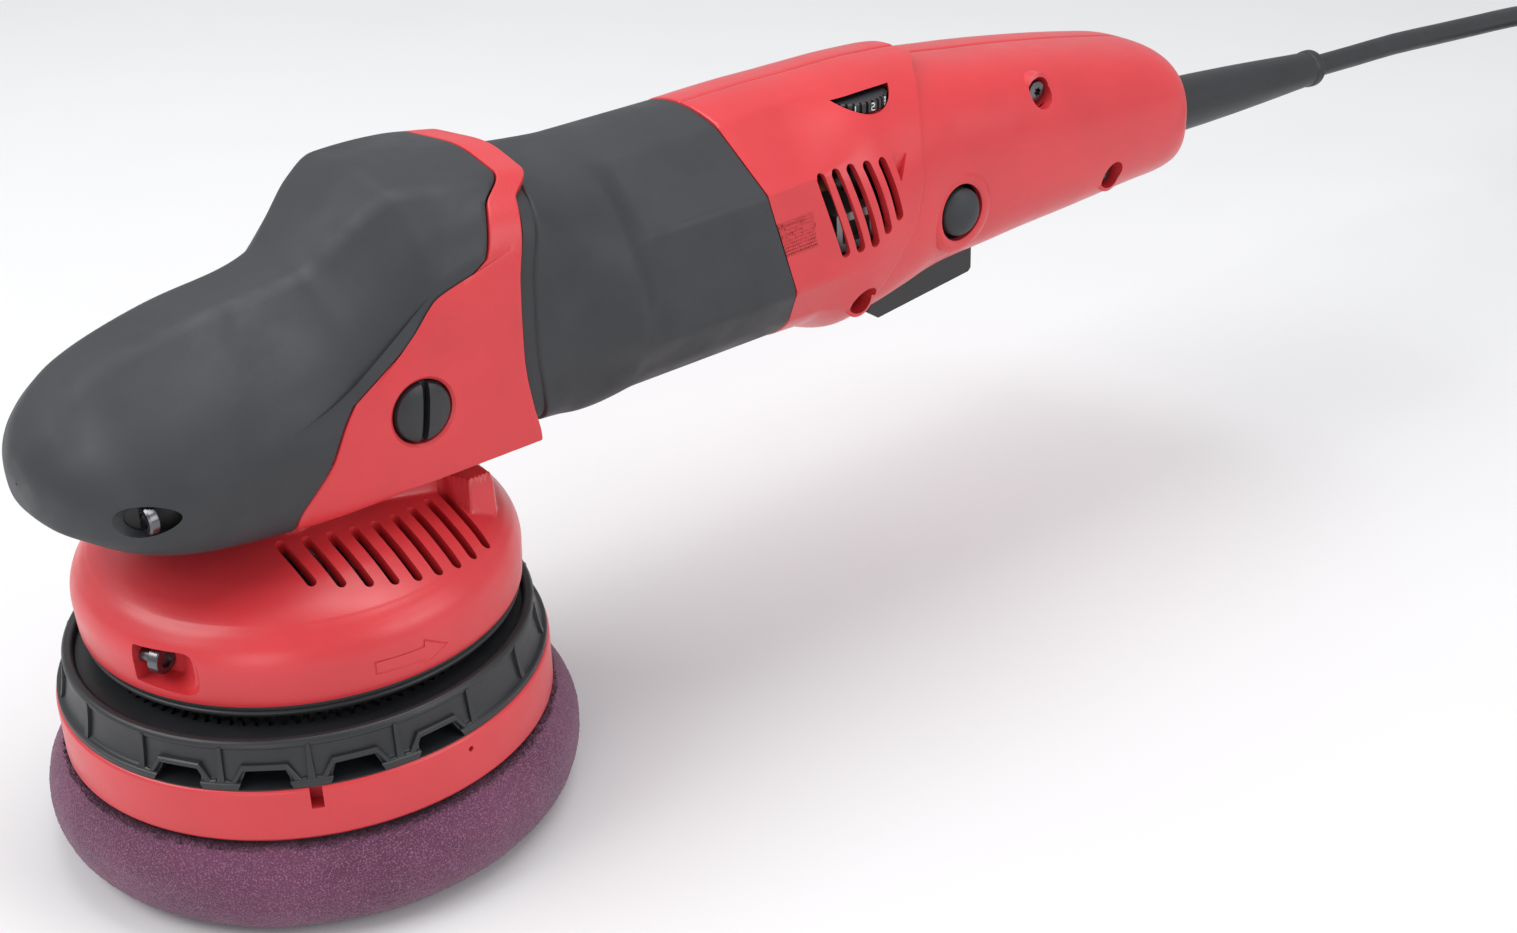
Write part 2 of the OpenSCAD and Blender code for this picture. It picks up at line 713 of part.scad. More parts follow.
module fan() {
    blades = 12;
    color("#3b3d42") difference() {
        union() {
            rod_x(fan_x, 27.5, 2);
            rod_x(fan_x, 10, 11);
            for (k = [0:blades - 1]) translate([fan_x + 1.5, 0, motor_z]) rotate([k * 360 / blades, 0, 0])
                translate([0, -0.8, 9]) cube([8, 1.6, 18]);
        }
        rod_x(fan_x - 5, motor_shaft_r, 30);
    }
}

module stator_core() {
    color("#70757a") difference() {
        rod_x(core_x0 - 2, stator_r, core_x1 - core_x0 + 4);
        rod_x(core_x0 - 5, stator_in_r, 80);
        for (s = [-1, 1]) translate([core_x0 - 5, s > 0 ? 18 : -26.5, motor_z - 12]) cube([80, 8.5, 24]);
    }
}

module field_coils() {
    color(copper) for (s = [-1, 1]) difference() {
        intersection() {
            rod_x(core_x0 - 4.5, 28.6, core_x1 - core_x0 + 9);
            translate([core_x0 - 8, s > 0 ? 18.4 : -26.5, motor_z - 11.6]) cube([80, 8.1, 23.2]);
        }
        rod_x(core_x0 - 10, stator_in_r + 0.1, 90);
    }
}

module air_baffle() {
    color("#2d2e33") difference() {
        rod_x(94, stator_r, 1.6);
        rod_x(90, 19, 20);
    }
}

module barrel_cut(extra = 0) {
    translate([barrel_cut_x + extra, 0, barrel_cut_top]) rotate([0, -rake, 0])
        translate([0, -80, -120]) cube([far, 160, 240]);
}

module motor_housing() {
    color(rubber_black) difference() {
        loft([for (s = housing_stations) round_ring(s)]);
        side_prism([[-20, 60], [53.4, 60], [53.4, 94], [51.4, 105], [50.1, 117], [50.7, 137],
            [53.4, 148], [56.4, 155.4], [67.4, 160.4], [67.4, 180], [-20, 180]]);
        intersection() {
            rod_x(40, bracket_r + 0.2, 42);
            translate([40, -40, bracket_floor_z - 0.2]) cube([60, 80, 80]);
        }
        rod_x(80, stator_r + fit, 100);
        barrel_cut();
    }
}

module brush_holders() {
    color(brass_tone) for (s = [-1, 1]) scale([1, s, 1]) difference() {
        translate([commutator_x + 3, 14, motor_z - 5.5]) cube([14, 16.5, 11]);
        translate([commutator_x + 5, 10, motor_z - 3.2]) cube([10, 40, 6.4]);
    }
}

module carbon_brushes() {
    color("#2b2b2d") for (s = [-1, 1]) scale([1, s, 1]) difference() {
        translate([commutator_x + 5.1, 12, motor_z - 3.1]) cube([9.8, 15, 6.2]);
        rod_x(commutator_x, 13.1, 40);
    }
}

module brush_pockets() {
    translate([commutator_x + 3, -30.5, motor_z - 5.5]) cube([14, 61, 11]);
}

// Everything cut from the hollow handle before it is split into two shells
module handle_cuts() {
    front_cut();
    for (k = [0:4]) vent(k);
    translate([dial_x, dial_y, dial_z - 0.4]) cylinder(r = dial_r + 0.6, h = 5);
    rod_y(button_x, -60, button_z, button_r + 0.35, 40);
    rod_y(button_x, -33.2, button_z, button_r + 2.5, 4.2);
    translate([trigger_x0 - 3.5, -12.6, 60]) cube([trigger_x1 - trigger_x0 + 5, 25.2, 36]);
    for (p = screw_places) rod_y(p[0], -60, p[1], 4.4, 39.6);
    at_boot() translate([0, 0, -30]) cylinder(r = 9.2, h = 60);
}

module front_cut() {
    difference() {
        translate([0, -80, 0]) cube([160, 160, 240]);
        barrel_cut(0.4);
    }
}

// One raked cooling slot in the left and right flank
module vent(k) {
    l = 25 - max(0, k - 2) * 3;
    x = 152.5 + k * 5.3;
    translate([x, 0, 125.5 + max(0, k - 2) * 1]) rotate([0, -14, 0]) rotate([90, 0, 0])
        linear_extrude(100, center = true) {
            square([3, l - 3], center = true);
            for (s = [-1, 1]) translate([0, s * (l - 3) / 2]) circle(r = 1.5, $fn = 24);
        }
}

// Screw bosses, bearing wall and the ribs that hold the parts inside the handle
module inner_ribs() {
    for (p = screw_places) rod_y(p[0], -30, p[1], 6.4, 60);
    rod_x(rear_bearing_x - 1, 14, 10);
    translate([rear_bearing_x + 0.5, -60, 97]) cube([5, 120, 41.5]);
    for (x = [165, 192]) translate([x, -60, 135.5]) cube([3, 120, 4]);
    for (x = [191.5, 222], y = [-60, 11]) translate([x, y, 99]) cube([3, 49, 20]);
    for (y = [-48, 28]) translate([commutator_x + 1, y, motor_z - 7.5]) cube([18, 20, 15]);
    for (x = [303, 313.1]) translate([x, -24, 88]) cube([3.2, 48, 42]);
    translate([286, -24, 85]) cube([6, 48, 14]);
}

module handle_body() {
    difference() {
        union() {
            difference() {
                loft([for (s = handle_stations) round_ring(s)]);
                loft(concat([for (s = handle_stations) if (s[0] < handle_end - 4) round_ring(s, shell_wall)],
                    [round_ring([handle_end - 3, 110.8, 21.8, 17.8, 17.6, 2.6], shell_wall)]));
            }
            intersection() {
                loft([for (s = handle_stations) round_ring(s, 1)]);
                inner_ribs();
            }
        }
        handle_cuts();
        for (p = screw_places) rod_y(p[0], -40, p[1], 1.95, 58);
        rod_x(rear_bearing_x - 5, 11, 12);
        rod_x(rear_bearing_x - 10, 9, 20);
        brush_pockets();
    }
}

module handle_shell_left() {
    color(red) intersection() {
        handle_body();
        translate([100, -80, 40]) cube([300, 79.95, 160]);
    }
}

module handle_shell_right() {
    color(red) intersection() {
        handle_body();
        translate([100, 0, 40]) cube([300, 80, 160]);
    }
}

module shell_screws() {
    color(steel) for (p = screw_places) translate([p[0], -23.5, p[1]]) rotate([90, 0, 0]) cap_screw(1.9, 30);
}

module switch_body() {
    color("#2d2e33") difference() {
        translate([192, -11, 98]) cube([36, 22, 24]);
        rod_y(button_x, -20, button_z, 4.2, 17);
    }
}

module speed_module() {
    color("#2f5d46") {
        translate([dial_x - 13, -16, 139.5]) cube([34, 32, 1.6]);
        translate([dial_x - 3, dial_y - 3, 141]) cube([6, 6, 4]);
        translate([dial_x + 4, 2, 141]) cube([14, 10, 7]);
    }
}

module speed_dial() {
    ribs = 36;
    color(black) translate([dial_x, dial_y, dial_z]) {
        difference() {
            cylinder(r = dial_r, h = dial_h);
            for (k = [0:ribs - 1]) rotate(k * 360 / ribs) translate([dial_r - 0.5, -0.35, -1])
                cube([1, 0.7, 10]);
        }
        translate([0, 0, -1.3]) cylinder(r = 1.5, h = 1.4);
    }
}

module trigger() {
    color("#3a3b40") difference() {
        union() {
            translate([0, 12, 0]) rotate([90, 0, 0]) linear_extrude(24) polygon([
                [trigger_x0 - 1, 87], [trigger_x0 - 2.5, 80], [trigger_x0 + 1, 77.5], [trigger_x1 - 1, 81.5],
                [trigger_x1, 82.5], [trigger_x1, 91.5], [trigger_x0 + 3, 92]]);
            rod_y(trigger_pivot[0], -12, trigger_pivot[2], 3.4, 24);
        }
        rod_y(trigger_pivot[0], -20, trigger_pivot[2], 1.5 + fit, 40);
    }
}

// Small round-wire coil spring along Z
module wire_spring(r, wire_r, turns, h) {
    n = 6;
    steps = turns * 14;
    rings = [for (i = [0:steps]) let (a = 360 * turns * i / steps, z = h * i / steps)
        [for (k = [0:n - 1]) let (b = 360 * k / n, rr = r + wire_r * cos(b))
            [rr * cos(a), rr * sin(a), z + wire_r * sin(b)]]];
    m = len(rings);
    polyhedron(points = [for (q = rings) each q], faces = concat(
        [[for (k = [n - 1:-1:0]) k]],
        [[for (k = [0:n - 1]) (m - 1) * n + k]],
        [for (j = [0:m - 2], k = [0:n - 1]) let (a = j * n + k, b = j * n + (k + 1) % n)
            each [[a, b, b + n], [a, b + n, a + n]]]));
}

module trigger_spring() {
    color(steel) translate([218, 0, 92.4]) wire_spring(3, 0.4, 4, 5.2);
}

module lock_button() {
    color(rubber_black) intersection() {
        rod_y(button_x, -33.6, button_z, button_r, 8);
        translate([button_x, -33.6 + 16, button_z]) sphere(r = 16.2, $fn = 48);
    }
    color(rubber_black) rod_y(button_x, -27, button_z, 4, 18 - button_travel - 1.5);
}

module cord_clamp() {
    color("#2d2e33") difference() {
        union() {
            translate([284, -12, 99]) cube([10, 24, 7.3]);
            translate([284, -12, 109.3]) cube([10, 24, 4.7]);
        }
        at_boot() translate([0, 0, -48]) cylinder(r = cord_r, h = 34);
    }
    color(steel) for (s = [-1, 1]) translate([289, s * 8.5, 100]) {
        cylinder(r = 1.5, h = 14.5);
        translate([0, 0, 14]) cylinder(r = 2.6, h = 1.8);
    }
}

// Places its children on the axis of the strain relief, at the handle's rear face
module at_boot() {
    translate([boot_x, 0, boot_z]) rotate([0, 90 + atan(boot_drop / boot_run), 0]) children();
}

module strain_relief() {
    color(black) at_boot() rotate_extrude() polygon([[cord_r, -22], [8.9, -22], [8.9, -15],
        [11.5, -15], [11.5, -9.7], [8.9, -9.7], [8.9, 1.4], [9.8, 1.8], [8.4, 40], [6.6, 68], [5.9, 80],
        [5.2, boot_l], [cord_r, boot_l]]);
}

module inner_cable() {
    color(black) at_boot() translate([0, 0, -42.5]) cylinder(r = cord_r - 0.05, h = 42.5 + boot_l);
}

// Catmull-Rom point between p1 and p2
function curve_point(p0, p1, p2, p3, t) = 0.5 * (2 * p1 + (p2 - p0) * t
    + (2 * p0 - 5 * p1 + 4 * p2 - p3) * t * t + (3 * p1 - p0 - 3 * p2 + p3) * t * t * t);
function smooth(p, steps) = let (n = len(p)) concat([for (i = [0:n - 2], j = [0:steps - 1])
    curve_point(p[max(0, i - 1)], p[i], p[i + 1], p[min(n - 1, i + 2)], j / steps)], [p[n - 1]]);

// Round tube along a route that stays in planes y = constant
module cord_along(route, steps) {
    n = 10;
    c = smooth(route, steps);
    m = len(c);
    rings = [for (i = [0:m - 1]) let (t = unit(c[min(m - 1, i + 1)] - c[max(0, i - 1)]),
        side = unit(cross([0, 0, 1], t)), up = cross(t, side))
        [for (k = [0:n - 1]) c[i] + cord_r * (cos(360 * k / n) * side + sin(360 * k / n) * up)]];
    polyhedron(points = [for (q = rings) each q], faces = concat(
        [[for (k = [n - 1:-1:0]) k]],
        [[for (k = [0:n - 1]) (m - 1) * n + k]],
        [for (j = [0:m - 2], k = [0:n - 1]) let (a = j * n + k, b = j * n + (k + 1) % n)
            each [[a, b, b + n], [a, b + n, a + n]]]));
}

module cord_tube() {
    color(black) cord_along(route, 3);
}

module cord_tail() {
    color(black) cord_along(tail, 3);
}

module cord_coil() {
    edge = 5;
    color(black) translate([coil_x, coil_y, 0]) rotate_extrude() translate([coil_r, 0]) polygon([
        [-coil_w / 2 + edge, 0], [coil_w / 2 - edge, 0], [coil_w / 2, edge], [coil_w / 2, coil_h - edge],
        [coil_w / 2 - edge, coil_h], [-coil_w / 2 + edge, coil_h], [-coil_w / 2, coil_h - edge],
        [-coil_w / 2, edge]]);
}

module cord_tie() {
    t = 1.4;
    color("#1d1d20") translate([coil_x, coil_y, 0]) rotate(40) translate([coil_r, 0, coil_h / 2])
        rotate([90, 0, 0]) linear_extrude(16, center = true) difference() {
            translate([0, 0.6]) square([coil_w + 2 * t, coil_h + 1.2], center = true);
            square([coil_w - 0.4, coil_h - 2.4], center = true);
        }
}

module mains_plug() {
    lobe = plug_half_w - plug_half_h;
    color(black) translate(plug_end) rotate([0, -90, 0]) {
        cylinder(r1 = 5.2, r2 = 8.5, h = 24);
        translate([0, 0, 23]) linear_extrude(28) {
            square([2 * plug_half_h, 2 * lobe], center = true);
            for (s = [-1, 1]) translate([0, s * lobe]) circle(r = plug_half_h);
        }
    }
}

module plug_pins() {
    color(steel) for (s = [-1, 1]) translate(plug_end + [-51, s * 9.5, 0]) rotate([0, -90, 0])
        cylinder(r = 2.4, h = 19);
}

foam_pad();
hook_layer();
backing_plate();
plate_screw();
ring_gear();
ring_screws();
pad_spindle();
pad_bearings();
eccentric_hub();
counterweight();
spindle();
crown_gear();
crown_nut();
spindle_bearing_lower();
spindle_bearing_upper();
bearing_retainer();
fixed_gear();
fixed_gear_screws();
hood_seal();
hood();
hood_clamp_screw();
gear_head();
head_grip();
grip_screws();
handle_plugs();
bearing_bracket();
bracket_screws();
motor_bearing_front();
motor_bearing_rear();
pinion();
motor_shaft();
armature_core();
commutator();
fan();
stator_core();
field_coils();
air_baffle();
motor_housing();
brush_holders();
carbon_brushes();
handle_shell_left();
handle_shell_right();
shell_screws();
switch_body();
speed_module();
speed_dial();
trigger();
trigger_spring();
lock_button();
cord_clamp();
strain_relief();
inner_cable();
cord_tube();
cord_coil();
cord_tail();
cord_tie();
mains_plug();
plug_pins();
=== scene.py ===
import math
import bmesh
import bpy
import numpy as np
from mathutils import Matrix, Vector, noise


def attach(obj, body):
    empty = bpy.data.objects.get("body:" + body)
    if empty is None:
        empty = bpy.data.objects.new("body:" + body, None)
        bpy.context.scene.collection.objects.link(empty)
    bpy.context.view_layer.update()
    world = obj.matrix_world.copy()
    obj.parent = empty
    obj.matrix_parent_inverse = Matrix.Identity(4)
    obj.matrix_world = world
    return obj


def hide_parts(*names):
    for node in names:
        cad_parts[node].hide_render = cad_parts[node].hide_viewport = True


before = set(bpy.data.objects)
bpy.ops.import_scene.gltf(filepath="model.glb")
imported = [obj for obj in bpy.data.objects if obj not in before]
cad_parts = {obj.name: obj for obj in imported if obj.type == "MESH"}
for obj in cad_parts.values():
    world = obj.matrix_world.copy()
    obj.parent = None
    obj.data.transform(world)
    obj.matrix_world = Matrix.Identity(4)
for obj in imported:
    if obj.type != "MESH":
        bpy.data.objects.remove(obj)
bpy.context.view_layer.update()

MM = 0.001


def linked(name, data):
    """New object in the scene for a mesh, curve, camera or light."""
    o = bpy.data.objects.new(name, data)
    bpy.context.scene.collection.objects.link(o)
    return o


# ---- camera
def make_camera():
    az, el, roll = math.radians(38.9), math.radians(28.2), math.radians(-1.8)
    look = Vector((math.sin(az) * math.cos(el), math.cos(az) * math.cos(el), -math.sin(el)))
    side = Vector((math.cos(az), -math.sin(az), 0))
    top = side.cross(look)
    right = math.cos(roll) * side + math.sin(roll) * top
    up = -math.sin(roll) * side + math.cos(roll) * top
    cam = bpy.data.cameras.new("camera")
    cam.sensor_width = 36
    cam.lens = 52.18
    cam.clip_start = 0.01
    cam.clip_end = 50
    o = linked("camera", cam)
    m = Matrix((right, up, -look)).transposed().to_4x4()
    m.translation = Vector((-0.2121, -0.4495, 0.3463))
    o.matrix_world = m
    bpy.context.scene.camera = o


make_camera()


# ---- finishes
def set_sockets(node, values):
    for key, value in values.items():
        node.inputs[key].default_value = value


def finish_of(name, color, rough, metal=0.0, mottle=0.08, mottle_scale=45, grain=0.1, grain_scale=1800,
              grain_depth=0.0001, coat=0.0, sheen=0.0, speckle=None, dust=0.05):
    """Procedural finish: slow tone change, fine grain in the relief, and a little unevenness in the gloss."""
    m = bpy.data.materials.new(name)
    m.use_nodes = True
    nt = m.node_tree
    b = nt.nodes["Principled BSDF"]
    set_sockets(b, {"Base Color": (*color, 1), "Roughness": rough, "Metallic": metal, "Coat Weight": coat,
                    "Coat Roughness": 0.25, "Sheen Weight": sheen})
    coord = nt.nodes.new("ShaderNodeTexCoord")

    def cloud(scale, detail, low, high):
        n = nt.nodes.new("ShaderNodeTexNoise")
        set_sockets(n, {"Scale": scale, "Detail": detail})
        r = nt.nodes.new("ShaderNodeMapRange")
        set_sockets(r, {"From Min": 0.3, "From Max": 0.7, "To Min": low, "To Max": high})
        nt.links.new(coord.outputs["Object"], n.inputs["Vector"])
        nt.links.new(n.outputs["Fac"], r.inputs["Value"])
        return n, r

    _, tone = cloud(mottle_scale, 4, 1 - mottle, 1 + mottle)
    mix = nt.nodes.new("ShaderNodeVectorMath")
    mix.operation = "SCALE"
    mix.inputs[0].default_value = color
    nt.links.new(tone.outputs["Result"], mix.inputs["Scale"])
    last = mix.outputs["Vector"]
    if speckle:
        scale, low, high, tint = speckle
        _, spots = cloud(scale, 2, 0, 1)
        set_sockets(spots, {"From Min": low, "From Max": high})
        over = nt.nodes.new("ShaderNodeMix")
        over.data_type = "RGBA"
        over.inputs["B"].default_value = (*tint, 1)
        nt.links.new(spots.outputs["Result"], over.inputs["Factor"])
        nt.links.new(last, over.inputs["A"])
        last = over.outputs["Result"]
    nt.links.new(last, b.inputs["Base Color"])
    _, gloss = cloud(mottle_scale * 3, 5, rough * (1 - dust) - dust / 2, rough * (1 + dust) + dust / 2)
    nt.links.new(gloss.outputs["Result"], b.inputs["Roughness"])
    if grain:
        n, _ = cloud(grain_scale, 3, 0, 1)
        bump = nt.nodes.new("ShaderNodeBump")
        set_sockets(bump, {"Strength": grain, "Distance": grain_depth})
        nt.links.new(n.outputs["Fac"], bump.inputs["Height"])
        nt.links.new(bump.outputs["Normal"], b.inputs["Normal"])
    return m


RED = (0.62, 0.036, 0.044)
LOOKS = {
    "red_plastic": dict(color=RED, rough=0.34, mottle=0.05, grain=0.25, grain_scale=2600, coat=0.12),
    "red_casting": dict(color=RED, rough=0.42, mottle=0.06, grain=0.5, grain_scale=1500, coat=0.05),
    "black_rubber": dict(color=(0.027, 0.029, 0.033), rough=0.56, mottle=0.1, mottle_scale=26, grain=0.3,
                         grain_scale=2200, dust=0.1),
    "black_plastic": dict(color=(0.018, 0.019, 0.021), rough=0.42, mottle=0.12, grain=0.25),
    "foam": dict(color=(0.12, 0.032, 0.075), rough=0.97, mottle=0.18, mottle_scale=55, grain=0.9, grain_scale=2300,
                 grain_depth=0.0004, sheen=0.2, speckle=(2600, 0.5, 0.68, (0.27, 0.12, 0.21))),
    "hook_fabric": dict(color=(0.05, 0.024, 0.035), rough=0.95, mottle=0.3, grain=1, grain_scale=2500,
                        grain_depth=0.0004),
    "steel": dict(color=(0.55, 0.56, 0.58), rough=0.3, metal=1, mottle=0.06, grain=0.15),
    "cast_metal": dict(color=(0.42, 0.43, 0.44), rough=0.48, metal=1, mottle=0.1, grain=0.5, grain_scale=1200),
    "laminations": dict(color=(0.2, 0.2, 0.21), rough=0.5, metal=0.9, mottle=0.15, grain=0.3),
    "copper": dict(color=(0.55, 0.2, 0.09), rough=0.35, metal=1, mottle=0.12, grain=0.3),
    "carbon": dict(color=(0.015, 0.015, 0.016), rough=0.6, mottle=0.2, grain=0.4),
    "circuit": dict(color=(0.03, 0.12, 0.06), rough=0.45, mottle=0.2, grain=0.3),
    "cord_rubber": dict(color=(0.02, 0.021, 0.024), rough=0.45, mottle=0.15, grain=0.35, grain_scale=2600),
    "plug_pins": dict(color=(0.7, 0.68, 0.62), rough=0.22, metal=1, mottle=0.05, grain=0.1),
    "screws": dict(color=(0.16, 0.16, 0.17), rough=0.28, metal=1, mottle=0.1, grain=0.15),
}
FINISH = {name: finish_of(name, **look) for name, look in LOOKS.items()}
PAINT = finish_of("white_print", (0.75, 0.75, 0.74), 0.5, mottle=0.05, grain=0.2)


# ---- mesh helpers, in millimetres
def add(name, points, faces, sharp=35):
    me = bpy.data.meshes.new(name)
    me.from_pydata([tuple(float(c) * MM for c in p) for p in points], [], [tuple(int(i) for i in f) for f in faces])
    me.validate()
    me.update()
    o = linked(name, me)
    smooth(o, sharp)
    return o


def smooth(o, sharp=35):
    o.data.shade_smooth()
    o.data.set_sharp_from_angle(angle=math.radians(sharp))


def clean(o, sharp=35, dist=0.01):
    """Merges doubled points, turns the faces outwards and marks the sharp edges."""
    bm = bmesh.new()
    bm.from_mesh(o.data)
    bmesh.ops.remove_doubles(bm, verts=bm.verts, dist=dist * MM)
    bmesh.ops.recalc_face_normals(bm, faces=bm.faces)
    bm.to_mesh(o.data)
    bm.free()
    smooth(o, sharp)
    return o


def grid(rows, close=True, caps=(False, False)):
    """Points and faces of a grid of rows; close joins the last column to the first."""
    rows = np.asarray(rows, float)
    r, n = rows.shape[:2]
    faces = []
    for i in range(r - 1):
        for j in range(n if close else n - 1):
            a, b = i * n + j, i * n + (j + 1) % n
            faces.append((a, b, b + n, a + n))
    if caps[0]:
        faces.append(tuple(range(n - 1, -1, -1)))
    if caps[1]:
        faces.append(tuple((r - 1) * n + k for k in range(n)))
    return rows.reshape(-1, 3), faces


def thick(name, outer, inner, close=False, sharp=35):
    """Closed shell between an outer and an inner grid with the same rows and columns."""
    outer, inner = np.asarray(outer, float), np.asarray(inner, float)
    r, n = outer.shape[:2]
    po, fo = grid(outer, close)
    pi, fi = grid(inner, close)
    k = len(po)
    faces = list(fo) + [tuple(i + k for i in reversed(f)) for f in fi]
    for j in range(n if close else n - 1):
        b = (j + 1) % n
        faces.append((b, j, j + k, b + k))
        e = (r - 1) * n
        faces.append((e + j, e + b, e + b + k, e + j + k))
    if not close:
        for i in range(r - 1):
            a, c = i * n, (i + 1) * n
            faces.append((a, c, c + k, a + k))
            faces.append((c + n - 1, a + n - 1, a + n - 1 + k, c + n - 1 + k))
    return clean(add(name, np.vstack([po, pi]), faces), sharp)


def ring_faces(steps, n, closed):
    """Faces of a ring of steps rows, n points in each; closed joins the last point of a row to its first."""
    faces = []
    for i in range(steps):
        near, far = i * n, ((i + 1) % steps) * n
        for j in range(n if closed else n - 1):
            k = (j + 1) % n
            faces.append((near + j, far + j, far + k, near + k))
    return faces


def turned(name, profile, steps=144, sharp=32, closed=True):
    """Solid of revolution about Z from a (radius, height) outline; one that isn't closed starts and ends on Z."""
    points = []
    for i in range(steps):
        a = 2 * math.pi * i / steps
        points += [(r * math.cos(a), r * math.sin(a), z) for r, z in profile]
    return clean(add(name, points, ring_faces(steps, len(profile), closed)), sharp)


def soft_outline(points, radius, steps=5):
    """The outline with its corners rounded by short curves."""
    p = [np.array(q, float) for q in points]
    n = len(p)
    out = []
    for i in range(n):
        a, c, b = p[i - 1], p[i], p[(i + 1) % n]
        r = radius[i] if isinstance(radius, (list, tuple)) else radius
        ta = min(r, 0.48 * np.linalg.norm(a - c))
        tb = min(r, 0.48 * np.linalg.norm(b - c))
        if r <= 0 or ta < 1e-6 or tb < 1e-6:
            out.append(tuple(c))
            continue
        pa, pb = c + ta * (a - c) / np.linalg.norm(a - c), c + tb * (b - c) / np.linalg.norm(b - c)
        for k in range(steps + 1):
            u = k / steps
            out.append(tuple((1 - u) ** 2 * pa + 2 * u * (1 - u) * c + u * u * pb))
    return out


def place(o, matrix):
    o.data.transform(matrix)
    o.data.update()
    return o


def frame_at(origin, z_dir, x_dir=None):
    """Matrix that puts local Z along z_dir at a point in millimetres."""
    z = Vector(z_dir).normalized()
    x = Vector(x_dir if x_dir else ((0, 0, 1) if abs(z.z) < 0.9 else (1, 0, 0)))
    x = (x - x.dot(z) * z).normalized()
    y = z.cross(x)
    m = Matrix((x, y, z)).transposed().to_4x4()
    m.translation = Vector(origin) * MM
    return m


def prism(name, outline, z0, z1, sharp=35):
    n = len(outline)
    pts = [(x, y, z0) for x, y in outline] + [(x, y, z1) for x, y in outline]
    faces = [tuple(range(n - 1, -1, -1)), tuple(range(n, 2 * n))]
    faces += [(i, (i + 1) % n, (i + 1) % n + n, i + n) for i in range(n)]
    return add(name, pts, faces, sharp)


def flared_prism(name, levels, sharp=35):
    """Closed solid through several outlines: [(outline, z), ...]."""
    rows = [[(x, y, z) for x, y in outline] for outline, z in levels]
    pts, faces = grid(rows, True, (True, True))
    return clean(add(name, pts, faces), sharp)


def capsule(length, radius, steps=10):
    """Outline of a slot with round ends, standing on end."""
    out = []
    for start, middle in ((0, length / 2 - radius), (math.pi, radius - length / 2)):
        for k in range(steps + 1):
            a = start + math.pi * k / steps
            out.append((radius * math.cos(a), middle + radius * math.sin(a)))
    return out


def disc(radius, steps=40):
    return [(radius * math.cos(2 * math.pi * k / steps), radius * math.sin(2 * math.pi * k / steps))
            for k in range(steps)]


def join(name, objects, sharp=35):
    """One object made of the meshes of several, which are used up."""
    bm = bmesh.new()
    for o in objects:
        bm.from_mesh(o.data)
        bpy.data.objects.remove(o)
    me = bpy.data.meshes.new(name)
    bm.to_mesh(me)
    bm.free()
    out = linked(name, me)
    smooth(out, sharp)
    return out


def cut(o, cutters, how="DIFFERENCE", sharp=35):
    """Boolean of o with the cutters, which are used up."""
    tool = join(o.name + "_cutter", cutters) if len(cutters) > 1 else cutters[0]
    m = o.modifiers.new("cut", "BOOLEAN")
    m.operation = how
    m.solver = "EXACT"
    m.use_self = False
    m.object = tool
    dg = bpy.context.evaluated_depsgraph_get()
    dg.update()
    me = bpy.data.meshes.new_from_object(o.evaluated_get(dg))
    before = len(o.data.polygons)
    o.modifiers.clear()
    o.data = me
    bpy.data.objects.remove(tool)
    smooth(o, sharp)
    if len(me.polygons) < before * 0.3:
        raise ValueError("a cut of %s removed most of it" % o.name)
    return o


def keep(o, body, slot, nodes=(), finish=None):
    """Gives the piece its finish, the slot's own unless another is given, puts it in its body, and hides the CAD nodes
    that it stands for.
    """
    o.data.materials.clear()
    o.data.materials.append(FINISH[slot] if finish is None else finish)
    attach(o, body)
    if nodes:
        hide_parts(*nodes)
    return o


# ---- cord
CORD_R = 3.8
COIL_X, COIL_Y, COIL_MIDDLE, COIL_TURNS = 665, -54, 42.6, 13.5
PLUG_FACE, PLUG_Y, PLUG_Z = 564, -108, 12
ROUTE = [[403, 0, 102], [425, 0, 101], [450, 0, 100], [475, 0, 98], [500, 0, 96], [525, 0, 94], [545, 0, 91],
         [563, 0, 85], [578, 0, 76], [591, 0, 64], [602, 0, 50], [613, 0, 36], [624, 0, 23], [636, 0, 12],
         [650, 0, 5.6], [665, 0, CORD_R]]


def curve_through(points, steps):
    p = np.array(points, float)
    out = []
    for i in range(len(p) - 1):
        a, b, c, d = p[max(0, i - 1)], p[i], p[i + 1], p[min(len(p) - 1, i + 2)]
        for j in range(steps):
            t = j / steps
            out.append(0.5 * (2 * b + (c - a) * t + (2 * a - 5 * b + 4 * c - d) * t * t
                              + (3 * b - a - 3 * c + d) * t ** 3))
    out.append(p[-1])
    return out


def coil_point(t):
    """Radius and height on the coil after t turns: in along the floor, out over it, and down the outside."""
    knots = [(0, 54, 3.8), (0.25, 53.6, 3.8), (3, 31.2, 3.8), (3.25, 30.2, 6.4), (3.5, 29.4, 9.2),
             (3.8, 30.4, 11.2), (4.1, 31.6, 11.4), (6, 46.4, 11.4), (6.3, 46.4, 16), (6.7, 46.3, 18.6),
             (7, 45.6, 19), (9, 31.2, 19), (9.3, 30.2, 22.4), (9.6, 30.6, 25.4), (10, 33.4, 26.6),
             (11.2, 45.2, 26.6), (11.6, 50.8, 26.4), (12, 53.8, 23.4), (12.4, 54, 20), (12.8, 54, 18.9),
             (13.1, 54, 15), (13.4, 54, 11.9), (COIL_TURNS, 54, 11.4)]
    turns, radii, heights = np.array(knots).T
    w = 0 if t < 0.1 or t > COIL_TURNS - 0.1 else 0.06
    near = [t - w, t, t, t + w]
    return np.interp(near, turns, radii).mean(), np.interp(near, turns, heights).mean()


